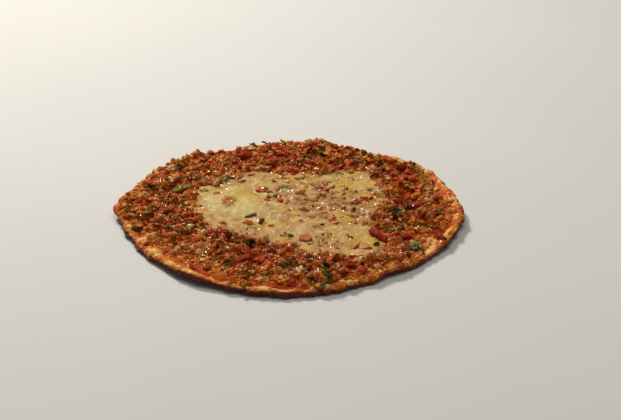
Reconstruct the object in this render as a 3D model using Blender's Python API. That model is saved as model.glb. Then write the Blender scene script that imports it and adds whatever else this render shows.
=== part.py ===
"""Lahmacun: a thin round flatbread under a spiced meat topping, with cheese melted over its middle.

Metres, +Z up. The origin is the middle of the underside, where the bread lies on a table.
The bread, the meat and the cheese share one set of sectors round the middle, so that each layer
lies on the one below it with the same small gap everywhere.
"""

import math

import bmesh
import bpy
from mathutils import Vector, noise
from mathutils.bvhtree import BVHTree

# Driving dimensions, in metres.
BREAD_RADIUS = 0.1190
BREAD_THICKNESS = 0.0030
RIM_HEIGHT = 0.0050
RIM_WIDTH = 0.0062
FLAT_RADIUS = 0.0850
MEAT_THICKNESS = 0.0042
CHEESE_RADIUS = 0.0680
CHEESE_THICKNESS = 0.0014
GAP = 0.0003
SEATING_GAP = 0.0004
SECTORS = 72
SHARP_ANGLE = 40.0
START_HEIGHT = 0.03

# Bumps round the disc: direction and half width in degrees from +X, then reach in metres.
# A reach below zero is a dent.
BREAD_BULGES = (
    (357, 25, 0.0065),
    (33, 12, 0.0045),
    (56, 12, -0.0040),
    (78, 9, 0.0010),
    (112, 12, -0.0050),
    (139, 14, 0.0030),
    (180, 5, 0.0062),
    (211, 15, -0.0032),
    (266, 32, 0.0045),
    (309, 9, -0.0025),
)
RIM_WIDENINGS = (
    (16, 7, 0.0042),
    (78, 26, -0.0036),
    (112, 11, 0.0010),
    (140, 14, -0.0030),
    (198, 6, 0.0028),
    (229, 13, 0.0052),
    (262, 4, 0.0022),
    (289, 6, 0.0024),
    (309, 9, -0.0030),
    (337, 8, 0.0060),
)
RIM_SWELLINGS = (
    (14, 8, 0.0010),
    (180, 8, 0.0008),
    (225, 12, 0.0006),
    (305, 7, 0.0014),
    (335, 10, 0.0009),
)
EDGE_LIFTS = (
    (48, 14, 0.0016),
    (180, 14, 0.0030),
    (238, 16, 0.0024),
    (306, 8, 0.0020),
    (351, 15, 0.0028),
)
CHEESE_BULGES = (
    (20, 12, 0.0080),
    (43, 11, 0.0180),
    (85, 16, -0.0120),
    (122, 20, -0.0040),
    (160, 12, 0.0070),
    (211, 5, 0.0060),
    (236, 18, -0.0090),
    (280, 9, 0.0040),
    (306, 19, 0.0310),
)

# Heaps of meat: the place (x, y), the radius and the height.
MEAT_HEAPS = (
    (0.024, 0.100, 0.018, 0.0026),
    (-0.010, 0.098, 0.014, 0.0014),
    (0.088, 0.030, 0.014, 0.0008),
    (-0.030, -0.070, 0.016, 0.0010),
    (-0.085, 0.040, 0.016, 0.0010),
)
MEAT_LUMP_HEIGHT = 0.0011
MEAT_LUMP_SPACING = 0.013
CHEESE_LUMP_HEIGHT = 0.0005
CHEESE_LUMP_SPACING = 0.017
MEAT_SHOULDER = 0.006
MEAT_SINK_UNDER_CHEESE = 0.0010
MEAT_SINK_WIDTH = 0.012
CHEESE_SHOULDER = 0.009

# Small unevenness of the edges: how far each wanders, and about how many waves go round.
CRUST_RIPPLE = (0.0012, 24)
MEAT_RIPPLE = (0.0012, 30)
CHEESE_RIPPLE = (0.0040, 28)
RIM_HEIGHT_RIPPLE = (0.0005, 40)

# Rings of each layer: how many lie under the cheese, and how many between it and the rim.
RINGS_UNDER_CHEESE = 7
RINGS_OUTSIDE_CHEESE = 5

CRUST_COLOR = (0.52, 0.23, 0.055)
MEAT_COLOR = (0.22, 0.065, 0.018)
CHEESE_COLOR = (0.60, 0.42, 0.17)
RED_PEPPER_COLOR = (0.42, 0.030, 0.014)
TOMATO_COLOR = (0.34, 0.060, 0.018)
GREEN_PEPPER_COLOR = (0.17, 0.17, 0.018)
PALE_PEPPER_COLOR = (0.42, 0.36, 0.10)
ONION_COLOR = (0.42, 0.27, 0.12)
PARSLEY_COLOR = (0.05, 0.13, 0.03)
CHAR_COLOR = (0.018, 0.011, 0.008)

# Pieces of pepper: name, colour, place (x, y), length, width, wall, turn in degrees, and the
# radius that its wall curves with.
PEPPER_PIECES = (
    ("pepper_red_front", RED_PEPPER_COLOR, -0.0265, -0.0825, 0.0082, 0.0070, 0.0036, 17, 0.012),
    ("pepper_red_front_light", RED_PEPPER_COLOR, -0.0182, -0.0853, 0.0072, 0.0066, 0.0034, -12, 0.012),
    ("pepper_red_front_right", RED_PEPPER_COLOR, 0.0408, -0.0911, 0.0098, 0.0054, 0.0030, 10, 0.012),
    ("pepper_red_right", RED_PEPPER_COLOR, 0.0908, 0.0005, 0.0105, 0.0085, 0.0040, 24, 0.013),
    ("pepper_red_right_small", RED_PEPPER_COLOR, 0.0824, -0.0485, 0.0084, 0.0060, 0.0032, 8, 0.012),
    ("pepper_red_strip_right", RED_PEPPER_COLOR, 0.0630, -0.0487, 0.0190, 0.0050, 0.0030, -52, 0.016),
    ("pepper_red_strip_back", RED_PEPPER_COLOR, -0.0362, 0.0836, 0.0180, 0.0060, 0.0028, 18, 0.018),
    ("pepper_red_on_cheese", RED_PEPPER_COLOR, 0.0130, -0.0540, 0.0090, 0.0070, 0.0030, -35, 0.012),
    ("pepper_green_left", GREEN_PEPPER_COLOR, -0.0767, 0.0260, 0.0172, 0.0064, 0.0032, 36, 0.014),
    ("pepper_pale_right", PALE_PEPPER_COLOR, 0.1013, 0.0256, 0.0074, 0.0062, 0.0036, 60, 0.012),
)

# Rounded pieces: name, colour, place (x, y), length, width, height and turn in degrees.
ROUNDED_PIECES = (
    ("tomato_right", TOMATO_COLOR, 0.1005, -0.0156, 0.0095, 0.0085, 0.0044, 0),
    ("tomato_on_cheese", TOMATO_COLOR, -0.0184, 0.0260, 0.0094, 0.0070, 0.0030, 15),
    ("onion_front_left", ONION_COLOR, -0.0678, -0.0619, 0.0090, 0.0070, 0.0032, 10),
    ("parsley_sprig", PARSLEY_COLOR, 0.0868, -0.0610, 0.0100, 0.0095, 0.0052, 0),
)

# A thin blackened strip: its middle (x, y), length, thickness and how far one end curls up.
CHARRED_STRIP_PLACE = (-0.0144, 0.1010)
CHARRED_STRIP_LENGTH = 0.0125
CHARRED_STRIP_THICKNESS = 0.0015
CHARRED_STRIP_CURL = 0.0030

# The pieces on top lie in shallow dimples of the meat and the cheese.
DIMPLE_DEPTH = 0.0013
DIMPLE_RADIUS = 0.0100
DIMPLES = [entry[2:4] for entry in PEPPER_PIECES + ROUNDED_PIECES]


def swell(angle, bumps):
    """The sum of smooth bumps at this direction round the disc."""
    total = 0.0
    for direction, half_width, reach in bumps:
        away = (math.degrees(angle) - direction + 180.0) % 360.0 - 180.0
        total += reach * math.exp(-((away / half_width) ** 2))
    return total


def ripple(angle, unevenness, seed):
    """How far a closed edge wanders here; the unevenness is its reach and number of waves."""
    reach, waves = unevenness
    around = Vector((math.cos(angle), math.sin(angle), 0.0)) * waves / math.tau
    return reach * noise.noise(around + Vector((0.0, 0.0, seed)))


def bread_edge(angle):
    return BREAD_RADIUS + swell(angle, BREAD_BULGES) + ripple(angle, CRUST_RIPPLE, 3.7)


def meat_edge(angle):
    width = RIM_WIDTH + swell(angle, RIM_WIDENINGS) + ripple(angle, MEAT_RIPPLE, 8.1)
    return bread_edge(angle) - width


def cheese_edge(angle):
    return CHEESE_RADIUS + swell(angle, CHEESE_BULGES) + ripple(angle, CHEESE_RIPPLE, 5.3)


def smooth_step(share):
    share = min(max(share, 0.0), 1.0)
    return share * share * (3.0 - 2.0 * share)


def lift(radius, angle):
    """How far the sheet of bread curls up off the table here."""
    share = (radius - FLAT_RADIUS) / (bread_edge(angle) - FLAT_RADIUS)
    return smooth_step(share) * swell(angle, EDGE_LIFTS)


def meat_top(radius, angle):
    """The height of the meat's lumpy upper face."""
    spot = Vector((radius * math.cos(angle), radius * math.sin(angle), 0.0))
    height = MEAT_THICKNESS
    height += MEAT_LUMP_HEIGHT * noise.noise(spot / MEAT_LUMP_SPACING)
    for x, y, spread, rise in MEAT_HEAPS:
        away = (spot - Vector((x, y, 0.0))).length / spread
        height += rise * math.exp(-away * away)
    for x, y in DIMPLES:
        away = (spot - Vector((x, y, 0.0))).length / DIMPLE_RADIUS
        height -= DIMPLE_DEPTH * math.exp(-(away**4))
    under_cheese = smooth_step((cheese_edge(angle) - radius) / MEAT_SINK_WIDTH)
    height -= MEAT_SINK_UNDER_CHEESE * under_cheese
    height *= 0.45 + 0.55 * smooth_step((meat_edge(angle) - radius) / MEAT_SHOULDER)
    return BREAD_THICKNESS + GAP + height + lift(radius, angle)


def cheese_top(radius, angle):
    """The height of the cheese's upper face, which thins out at its edge."""
    spot = Vector((radius * math.cos(angle), radius * math.sin(angle), 0.7))
    height = CHEESE_THICKNESS + CHEESE_LUMP_HEIGHT * noise.noise(spot / CHEESE_LUMP_SPACING)
    height *= 0.40 + 0.60 * smooth_step((cheese_edge(angle) - radius) / CHEESE_SHOULDER)
    return meat_top(radius, angle) + GAP + height


def ring_radii(angle):
    """The radii that the layers share, from the middle to the edge of the meat."""
    cheese = cheese_edge(angle)
    meat = meat_edge(angle)
    radii = [cheese * ring / RINGS_UNDER_CHEESE for ring in range(RINGS_UNDER_CHEESE + 1)]
    for ring in range(1, RINGS_OUTSIDE_CHEESE + 1):
        radii.append(cheese + (meat - cheese) * ring / RINGS_OUTSIDE_CHEESE)
    return radii


def bread_section(angle):
    """One cut through the bread, from the middle of its underside round the rim to its top."""
    edge = bread_edge(angle)
    radii = ring_radii(angle)
    meat = radii[-1]
    width = edge - meat
    crest = RIM_HEIGHT + swell(angle, RIM_SWELLINGS) + ripple(angle, RIM_HEIGHT_RIPPLE, 1.9)
    under = [0.0, FLAT_RADIUS * 0.5, FLAT_RADIUS, FLAT_RADIUS + (meat - FLAT_RADIUS) * 0.5, meat]
    section = [(radius, lift(radius, angle)) for radius in under]
    rim = (
        (0.20, 0.12 * crest),
        (0.0, 0.48 * crest),
        (0.10, 0.84 * crest),
        (0.36, crest),
        (0.70, 0.5 * (crest + BREAD_THICKNESS)),
    )
    for inward, height in rim:
        radius = edge - width * inward
        section.append((radius, lift(radius, angle) + height))
    for radius in reversed(radii):
        section.append((radius, lift(radius, angle) + BREAD_THICKNESS))
    return section


def meat_section(angle):
    """One cut through the meat: flat on the bread, with a lumpy top."""
    radii = ring_radii(angle)
    radii[-1] -= GAP
    under = [(radius, BREAD_THICKNESS + GAP + lift(radius, angle)) for radius in radii]
    upper = [(radius, meat_top(radius, angle)) for radius in radii]
    return under + upper[::-1]


def cheese_section(angle):
    """One cut through the cheese, which follows the meat below it."""
    radii = ring_radii(angle)[: RINGS_UNDER_CHEESE + 1]
    under = [(radius, meat_top(radius, angle) + GAP) for radius in radii]
    upper = [(radius, cheese_top(radius, angle)) for radius in radii]
    return under + upper[::-1]


def plain_material(name, color, roughness):
    material = bpy.data.materials.new(name)
    material.use_nodes = True
    shader = material.node_tree.nodes["Principled BSDF"]
    shader.inputs["Base Color"].default_value = (*color, 1.0)
    shader.inputs["Roughness"].default_value = roughness
    shader.inputs["Metallic"].default_value = 0.0
    return material


def object_from(name, mesh_maker, color, roughness):
    """A named, smooth-shaded object from a bmesh, with its own material."""
    mesh = bpy.data.meshes.new(name)
    mesh_maker.to_mesh(mesh)
    mesh_maker.free()
    mesh.materials.append(plain_material(name + "_finish", color, roughness))
    mesh.shade_smooth()
    mesh.set_sharp_from_angle(angle=math.radians(SHARP_ANGLE))
    piece = bpy.data.objects.new(name, mesh)
    bpy.context.scene.collection.objects.link(piece)
    return piece


def rolled_layer(name, section, color, roughness):
    """A closed layer: a flat grid is rolled up round the middle, one column for each sector."""
    rows = len(section(0.0)) - 1
    maker = bmesh.new()
    bmesh.ops.create_grid(maker, x_segments=SECTORS, y_segments=rows, size=1.0)
    for vertex in maker.verts:
        column = round((vertex.co.x + 1.0) / 2.0 * SECTORS) % SECTORS
        row = round((vertex.co.y + 1.0) / 2.0 * rows)
        angle = math.tau * column / SECTORS
        radius, height = section(angle)[row]
        vertex.co = (radius * math.cos(angle), radius * math.sin(angle), height)
    bmesh.ops.remove_doubles(maker, verts=maker.verts, dist=1e-6)
    bmesh.ops.recalc_face_normals(maker, faces=maker.faces)
    bmesh.ops.triangulate(maker, faces=maker.faces)
    return object_from(name, maker, color, roughness)


def rest_on(piece, supports):
    """Lowers a piece until its nearest point is the seating gap above what it lies on."""
    bpy.context.view_layer.update()
    clearances = []
    place = piece.matrix_world
    corners = [place @ vertex.co for vertex in piece.data.vertices]
    polygons = [tuple(polygon.vertices) for polygon in piece.data.polygons]
    own_tree = BVHTree.FromPolygons(corners, polygons)
    for support in supports:
        points = [support.matrix_world @ vertex.co for vertex in support.data.vertices]
        faces = [tuple(polygon.vertices) for polygon in support.data.polygons]
        tree = BVHTree.FromPolygons(points, faces)
        for corner in corners:
            hit = tree.ray_cast(corner, Vector((0.0, 0.0, -1.0)))[0]
            if hit is not None:
                clearances.append(corner.z - hit.z)
        for point in points:
            hit = own_tree.ray_cast(point, Vector((0.0, 0.0, 1.0)))[0]
            if hit is not None:
                clearances.append(hit.z - point.z)
    piece.location.z -= min(clearances) - SEATING_GAP


def pepper_piece(name, color, x, y, length, width, wall, turn, curve_radius):
    """A cut piece of pepper: a short stretch of the curved wall, with rounded corners."""
    maker = bmesh.new()
    across, along = 3, 4
    bmesh.ops.create_grid(maker, x_segments=along, y_segments=across, size=0.5)
    for vertex in maker.verts:
        u = 2.0 * vertex.co.x
        v = 2.0 * vertex.co.y
        taper = 1.0 - 0.16 * u * u * v * v
        uneven = 1.0 + 0.14 * noise.noise(Vector((3.0 * u, 3.0 * v, 400.0 * x)))
        px = 0.5 * length * u * taper * uneven
        py = 0.5 * width * v * taper * uneven
        pz = -(py * py) / (2.0 * curve_radius) - (px * px) / (5.0 * curve_radius)
        vertex.co = (px, py, pz)
    bmesh.ops.recalc_face_normals(maker, faces=maker.faces)
    bmesh.ops.solidify(maker, geom=maker.faces[:] + maker.edges[:] + maker.verts[:], thickness=wall)
    bmesh.ops.recalc_face_normals(maker, faces=maker.faces)
    bmesh.ops.triangulate(maker, faces=maker.faces)
    piece = object_from(name, maker, color, 0.3)
    piece.location = (x, y, START_HEIGHT)
    piece.rotation_euler = (0.0, 0.0, math.radians(turn))
    return piece


def rounded_piece(name, color, x, y, length, width, height, turn):
    """A soft lump, such as a piece of tomato or onion, or a sprig's outline."""
    maker = bmesh.new()
    bmesh.ops.create_icosphere(maker, subdivisions=2, radius=0.5)
    for vertex in maker.verts:
        uneven = 1.0 + 0.22 * noise.noise(vertex.co * 5.0 + Vector((300.0 * x, 300.0 * y, 0.0)))
        flat = 0.5 + math.copysign(abs(vertex.co.z * 2.0) ** 0.7, vertex.co.z) * 0.5
        vertex.co = (vertex.co.x * length * uneven, vertex.co.y * width * uneven, flat * height)
    bmesh.ops.recalc_face_normals(maker, faces=maker.faces)
    piece = object_from(name, maker, color, 0.4)
    piece.location = (x, y, START_HEIGHT)
    piece.rotation_euler = (0.0, 0.0, math.radians(turn))
    return piece


def charred_strip():
    """A thin blackened strip that curls up at one end."""
    maker = bmesh.new()
    steps, sides = 9, 6
    bmesh.ops.create_circle(maker, cap_ends=True, segments=sides, radius=0.5)
    face = maker.faces[:]
    stretch = 1.0 / steps
    for _ in range(steps):
        grown = bmesh.ops.extrude_face_region(maker, geom=face)["geom"]
        bmesh.ops.delete(maker, geom=face, context="FACES")
        moved = [item for item in grown if isinstance(item, bmesh.types.BMVert)]
        face = [item for item in grown if isinstance(item, bmesh.types.BMFace)]
        bmesh.ops.translate(maker, verts=moved, vec=(0.0, 0.0, stretch))
    bmesh.ops.holes_fill(maker, edges=maker.edges, sides=sides)
    for vertex in maker.verts:
        along = vertex.co.z
        thick = CHARRED_STRIP_THICKNESS * (1.0 - 0.45 * (2.0 * along - 1.0) ** 2)
        rise = CHARRED_STRIP_CURL * (1.0 - along) ** 3
        sway = 0.0012 * math.sin(math.pi * along)
        vertex.co = (
            CHARRED_STRIP_LENGTH * (along - 0.5),
            vertex.co.x * 1.5 * thick + sway,
            vertex.co.y * thick + rise,
        )
    bmesh.ops.recalc_face_normals(maker, faces=maker.faces)
    bmesh.ops.triangulate(maker, faces=maker.faces)
    piece = object_from("charred_strip_back", maker, CHAR_COLOR, 0.6)
    piece.location = (*CHARRED_STRIP_PLACE, START_HEIGHT)
    piece.rotation_euler = (0.0, 0.0, math.radians(4.0))
    return piece


def centre_on_origin(pieces, bread):
    """Hangs the pieces on one empty and puts the middle of the bread's box on the origin."""
    corners = [vertex.co for vertex in bread.data.vertices]
    middle_x = (min(corner.x for corner in corners) + max(corner.x for corner in corners)) / 2.0
    middle_y = (min(corner.y for corner in corners) + max(corner.y for corner in corners)) / 2.0
    holder = bpy.data.objects.new("lahmacun", None)
    bpy.context.scene.collection.objects.link(holder)
    for piece in pieces:
        piece.parent = holder
    holder.location = (-middle_x, -middle_y, 0.0)


def build():
    for old in list(bpy.data.objects):
        bpy.data.objects.remove(old, do_unlink=True)
    bread = rolled_layer("bread", bread_section, CRUST_COLOR, 0.7)
    meat = rolled_layer("meat_topping", meat_section, MEAT_COLOR, 0.45)
    cheese = rolled_layer("cheese", cheese_section, CHEESE_COLOR, 0.35)
    supports = [bread, meat, cheese]
    toppings = [pepper_piece(*entry) for entry in PEPPER_PIECES]
    toppings += [rounded_piece(*entry) for entry in ROUNDED_PIECES]
    toppings.append(charred_strip())
    for topping in toppings:
        rest_on(topping, supports)
    centre_on_origin(supports + toppings, bread)


build()
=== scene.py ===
# %% [markdown]
# # A lahmacun with cheese, cell by cell
# A lahmacun is a thin round flatbread that is baked under a layer of spiced minced meat. This one
# has cheese melted over its middle, and pieces of pepper, tomato, onion and parsley on top.
# The imported model gives every layer its real size and place. This lesson measures those layers,
# lays finer ones with crumbs, blisters and folds exactly where they are, and cooks them with
# shader nodes. The first cell loads the model.

# %% Load the model
import math
import random

import bmesh
import bpy
import numpy as np
from mathutils import Euler, Matrix, Vector, noise
from mathutils.bvhtree import BVHTree


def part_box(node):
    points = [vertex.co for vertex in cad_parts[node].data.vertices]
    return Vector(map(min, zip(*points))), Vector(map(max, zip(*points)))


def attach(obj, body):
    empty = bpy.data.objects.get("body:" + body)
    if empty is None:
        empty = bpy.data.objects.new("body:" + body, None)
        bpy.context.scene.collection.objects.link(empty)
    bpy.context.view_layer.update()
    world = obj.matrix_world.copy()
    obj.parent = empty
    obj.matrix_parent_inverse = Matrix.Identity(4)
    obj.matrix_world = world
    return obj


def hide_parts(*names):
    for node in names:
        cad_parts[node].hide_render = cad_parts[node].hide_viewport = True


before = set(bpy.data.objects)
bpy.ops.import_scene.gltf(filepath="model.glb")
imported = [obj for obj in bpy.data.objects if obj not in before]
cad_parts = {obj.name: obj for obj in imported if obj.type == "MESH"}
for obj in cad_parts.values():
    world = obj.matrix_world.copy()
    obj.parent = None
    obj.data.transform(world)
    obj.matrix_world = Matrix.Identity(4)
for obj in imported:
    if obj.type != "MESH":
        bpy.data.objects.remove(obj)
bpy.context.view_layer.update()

MM = 0.001
UP = Vector((0.0, 0.0, 1.0))
DOWN = -UP

# %% [markdown]
# ## Camera, light and table
# The lahmacun lies flat, and someone looks down on it at 26 degrees from a good arm's length
# away, with a long lens that keeps the round bread free of distortion. The strongest light is a
# window-like panel behind it on the left: light from behind skims over the crumbs, throws their
# shadows towards the viewer and makes wet spots flash. A broad weak panel above and a pale room
# fill the shadows. The table is a plain pale sheet.

# %% Camera
VIEW_HEIGHT = math.radians(26.0)
VIEW_DISTANCE = 1.26
VIEW_CENTRE = Vector((0.0161, 0.0021, 0.0042))
LENS = 102.9

camera_data = bpy.data.cameras.new("camera")
camera_data.lens = LENS
camera = bpy.data.objects.new("camera", camera_data)
looking = Vector((0.0, math.cos(VIEW_HEIGHT), -math.sin(VIEW_HEIGHT)))
camera.location = VIEW_CENTRE - looking * VIEW_DISTANCE
camera.rotation_euler = (math.radians(90.0) - VIEW_HEIGHT, 0.0, 0.0)
bpy.context.scene.collection.objects.link(camera)
bpy.context.scene.camera = camera
bpy.context.scene.view_settings.view_transform = "Standard"
print("camera at", [round(c, 3) for c in camera.location])

# %% Lights
def panel_light(name, place, size, power, colour):
    """A square lamp that faces the middle of the bread."""
    data = bpy.data.lights.new(name, "AREA")
    data.size = size
    data.energy = power
    data.color = colour
    lamp = bpy.data.objects.new(name, data)
    lamp.location = place
    lamp.rotation_euler = (-Vector(place)).to_track_quat("-Z", "Y").to_euler()
    bpy.context.scene.collection.objects.link(lamp)


panel_light("window", (-0.55, 0.85, 1.05), 0.34, 17.5, (1.0, 0.955, 0.87))
panel_light("ceiling", (0.25, -0.35, 1.9), 1.2, 11.0, (1.0, 0.965, 0.90))
room = bpy.data.worlds.new("room")
room.use_nodes = True
room.node_tree.nodes["Background"].inputs["Color"].default_value = (0.96, 0.94, 0.94, 1.0)
room.node_tree.nodes["Background"].inputs["Strength"].default_value = 0.16
bpy.context.scene.world = room
print("three lights: window, ceiling and the room itself")

# %% [markdown]
# ## Small helpers for shader nodes
# A material is a tree of nodes. These helpers keep each tree short enough to read like a recipe:
# one adds a node, one mixes two colours, one stretches a number so that a chosen range runs
# from 0 to 1, and one turns a number into a colour. Colours are written the way paint programs
# show them, from 0 to 255, and are turned into linear light here.

# %% Node helpers
def paint(red, green, blue):
    """A colour written from 0 to 255 as a linear colour for a shader."""
    shares = [value / 255.0 for value in (red, green, blue)]
    linear = [s / 12.92 if s <= 0.04045 else ((s + 0.055) / 1.055) ** 2.4 for s in shares]
    return (*linear, 1.0)


def feed(tree, socket, value):
    """Puts a plain value into a socket, or links another node's output to it."""
    if isinstance(value, bpy.types.NodeSocket):
        tree.links.new(value, socket)
    else:
        socket.default_value = value


def add(tree, kind, inputs=None, **settings):
    """Adds a shader node with its settings and inputs."""
    made = tree.nodes.new(kind)
    for name, value in settings.items():
        setattr(made, name, value)
    for name, value in (inputs or {}).items():
        feed(tree, made.inputs[name], value)
    return made


def mixed(tree, share, first, second, way="MIX"):
    """The first colour, with this share of the second mixed in."""
    mixer = add(tree, "ShaderNodeMix", data_type="RGBA", blend_type=way)
    for place, value in ((0, share), (6, first), (7, second)):
        feed(tree, mixer.inputs[place], value)
    return mixer.outputs[2]


def stretched(tree, value, low, high):
    """The value stretched so that low gives 0 and high gives 1, and kept between them."""
    made = add(tree, "ShaderNodeMapRange", {"Value": value, "From Min": low, "From Max": high})
    return made.outputs["Result"]


def sums(tree, way, first, second):
    """Plain arithmetic between two numbers."""
    made = add(tree, "ShaderNodeMath", {0: first, 1: second}, operation=way)
    return made.outputs["Value"]


def graded(tree, value, stops):
    """A colour picked by a number: each stop is a place from 0 to 1 and a colour."""
    ramp = add(tree, "ShaderNodeValToRGB", {"Fac": value})
    band = ramp.color_ramp
    band.elements[0].position, band.elements[0].color = stops[0]
    band.elements[1].position, band.elements[1].color = stops[-1]
    for place, colour in stops[1:-1]:
        band.elements.new(place).color = colour
    return ramp.outputs["Color"]


def clouds(tree, where, scale, detail=2.0, seed=0.0):
    """Soft noise from 0 to 1; the scale is how many waves fit in a metre."""
    moved = add(tree, "ShaderNodeMapping", {"Vector": where, "Location": (seed, seed, seed)})
    made = add(tree, "ShaderNodeTexNoise",
               {"Vector": moved.outputs["Vector"], "Scale": scale, "Detail": detail})
    return made.outputs["Fac"]


def mark(tree, name):
    """A number that the mesh carries at its points."""
    return add(tree, "ShaderNodeAttribute", attribute_name=name).outputs["Fac"]


def new_material(name):
    """A material with its tree, its shader and the object's own coordinates."""
    material = bpy.data.materials.new(name)
    material.use_nodes = True
    tree = material.node_tree
    shader = tree.nodes["Principled BSDF"]
    shader.inputs["Specular IOR Level"].default_value = 0.12
    where = add(tree, "ShaderNodeTexCoord").outputs["Object"]
    return material, tree, shader, where


def bumped(tree, shader, height, strength, distance):
    """Raises the shader's surface by a height pattern."""
    bump = add(tree, "ShaderNodeBump",
               {"Height": height, "Strength": strength, "Distance": distance})
    feed(tree, shader.inputs["Normal"], bump.outputs["Normal"])


def new_group(name, inputs, outputs):
    """An empty node group with named sockets, and its input and output nodes."""
    group = bpy.data.node_groups.new(name, "ShaderNodeTree")
    for label, kind, value in inputs:
        socket = group.interface.new_socket(label, in_out="INPUT", socket_type=kind)
        socket.default_value = value
    for label, kind in outputs:
        group.interface.new_socket(label, in_out="OUTPUT", socket_type=kind)
    return group, add(group, "NodeGroupInput"), add(group, "NodeGroupOutput")


FLOAT, COLOUR, VECTOR = "NodeSocketFloat", "NodeSocketColor", "NodeSocketVector"
print("node helpers ready")

# %% Table
floor_maker = bmesh.new()
bmesh.ops.create_grid(floor_maker, x_segments=8, y_segments=8, size=4.0)
bmesh.ops.translate(floor_maker, verts=floor_maker.verts, vec=(0.0, 0.0, -0.2 * MM))
floor_mesh = bpy.data.meshes.new("table")
floor_maker.to_mesh(floor_mesh)
floor_maker.free()
floor = bpy.data.objects.new("table", floor_mesh)
bpy.context.scene.collection.objects.link(floor)
floor_finish, tree, shader, where = new_material("pale_table")
cloud = clouds(tree, where, 6.0, 3.0)
feed(tree, shader.inputs["Base Color"],
     mixed(tree, cloud, (0.66, 0.65, 0.63, 1.0), (0.70, 0.69, 0.67, 1.0)))
shader.inputs["Roughness"].default_value = 0.7
floor_mesh.materials.append(floor_finish)
print("table ready")

# %% [markdown]
# ## Measuring the layers
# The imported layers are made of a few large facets. To measure them, each is copied, its loose
# triangles are merged, and a Subdivision Surface rounds the copy off. A ray dropped on the copy
# like a plumb line tells how high the layer is at any spot. Halving the distance again and again
# finds how far out a layer reaches in each direction.

# %% Plumb lines and outlines
MERGE_DISTANCE = 0.01 * MM
DROP_HEIGHT = 0.1
STEPS_ROUND = 720
HALVINGS = 14


def merged_copy(node):
    """A bmesh of a CAD node, with the loose triangles merged."""
    maker = bmesh.new()
    maker.from_mesh(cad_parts[node].data)
    bmesh.ops.remove_doubles(maker, verts=maker.verts, dist=MERGE_DISTANCE)
    return maker


def rounded_tree(node):
    """A search tree over a rounded copy of a CAD node."""
    maker = merged_copy(node)
    mesh = bpy.data.meshes.new(node + "_measure")
    maker.to_mesh(mesh)
    maker.free()
    helper = bpy.data.objects.new(node + "_measure", mesh)
    bpy.context.scene.collection.objects.link(helper)
    rounding = helper.modifiers.new("rounding", "SUBSURF")
    rounding.levels = 2
    rounding.render_levels = 2
    tree = BVHTree.FromObject(helper, bpy.context.evaluated_depsgraph_get())
    bpy.data.objects.remove(helper)
    return tree


def top_of(tree, x, y):
    """How high the layer's upper face is here, or None beside the layer."""
    hit = tree.ray_cast(Vector((x, y, DROP_HEIGHT)), DOWN)[0]
    return None if hit is None else hit.z


def bottom_of(tree, x, y):
    """How high the layer's underside is here, or None beside the layer."""
    hit = tree.ray_cast(Vector((x, y, -DROP_HEIGHT)), UP)[0]
    return None if hit is None else hit.z


def outline_of(tree):
    """How far the layer reaches in each of the steps round the middle."""
    reaches = []
    for step in range(STEPS_ROUND):
        angle = math.tau * step / STEPS_ROUND
        inner, outer = 40 * MM, 140 * MM
        for _ in range(HALVINGS):
            middle = (inner + outer) / 2
            if top_of(tree, middle * math.cos(angle), middle * math.sin(angle)) is None:
                outer = middle
            else:
                inner = middle
        reaches.append(inner)
    return reaches


def reach(outline, angle):
    """The outline's radius in this direction, between its two nearest steps."""
    place = angle / math.tau * STEPS_ROUND
    low = math.floor(place)
    share = place - low
    return outline[low % STEPS_ROUND] * (1 - share) + outline[(low + 1) % STEPS_ROUND] * share


bread_tree, meat_tree, cheese_tree = [
    rounded_tree(name) for name in ("bread", "meat_topping", "cheese")]
bread_outline, meat_outline, cheese_outline = [
    outline_of(tree) for tree in (bread_tree, meat_tree, cheese_tree)]
print("mean radius of bread, meat and cheese in mm:",
      [round(sum(outline) / STEPS_ROUND / MM, 1)
       for outline in (bread_outline, meat_outline, cheese_outline)])

# %% [markdown]
# ## Shapes from noise
# Everything here was torn, crumbled, blistered or melted, so nothing is regular. Three kinds of
# noise give all of it: soft waves for dents and swellings, rough waves for crumbly faces, and
# packed cells for crumbs that lie side by side with gaps between them. The meat's finish darkens
# those gaps with painted shade.

# %% Noise helpers
def smooth(share):
    """0 below 0, 1 above 1 and a soft S between them."""
    share = min(max(share, 0.0), 1.0)
    return share * share * (3.0 - 2.0 * share)


def waves(x, y, z, size, seed):
    """Soft waves from about -0.7 to 0.7; the size is the width of one dent."""
    return noise.noise(Vector((x / size + seed, y / size - seed, z / size)))


def roughness_at(x, y, z, size, seed):
    """Rough waves from about -1 to 1, with two finer sets on the first."""
    return noise.fractal(Vector((x / size + seed, y / size - seed, z / size)), 0.8, 2.1, 3)


def crumbs_at(x, y, size, seed):
    """Packed crumbs: 1 on top of one and 0 in a gap, and that crumb's own number from 0 to 1."""
    bend = 0.45 * noise.noise(Vector((x / size * 1.3, y / size * 1.3, seed + 9.0)))
    sway = 0.45 * noise.noise(Vector((y / size * 1.3, x / size * 1.3, seed - 9.0)))
    distances, centres = noise.voronoi(Vector((x / size + bend, y / size + sway, seed)))
    dome = smooth(1.25 - distances[0] * 1.45)
    return dome, 0.5 + 0.5 * noise.cell(centres[0] * 31.7)


def polar(x, y):
    return math.hypot(x, y), math.atan2(y, x)


def turn_between(angle, degrees):
    """The turn from a direction in degrees to an angle, in degrees from -180 to 180."""
    return (math.degrees(angle) - degrees + 180.0) % 360.0 - 180.0


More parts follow.
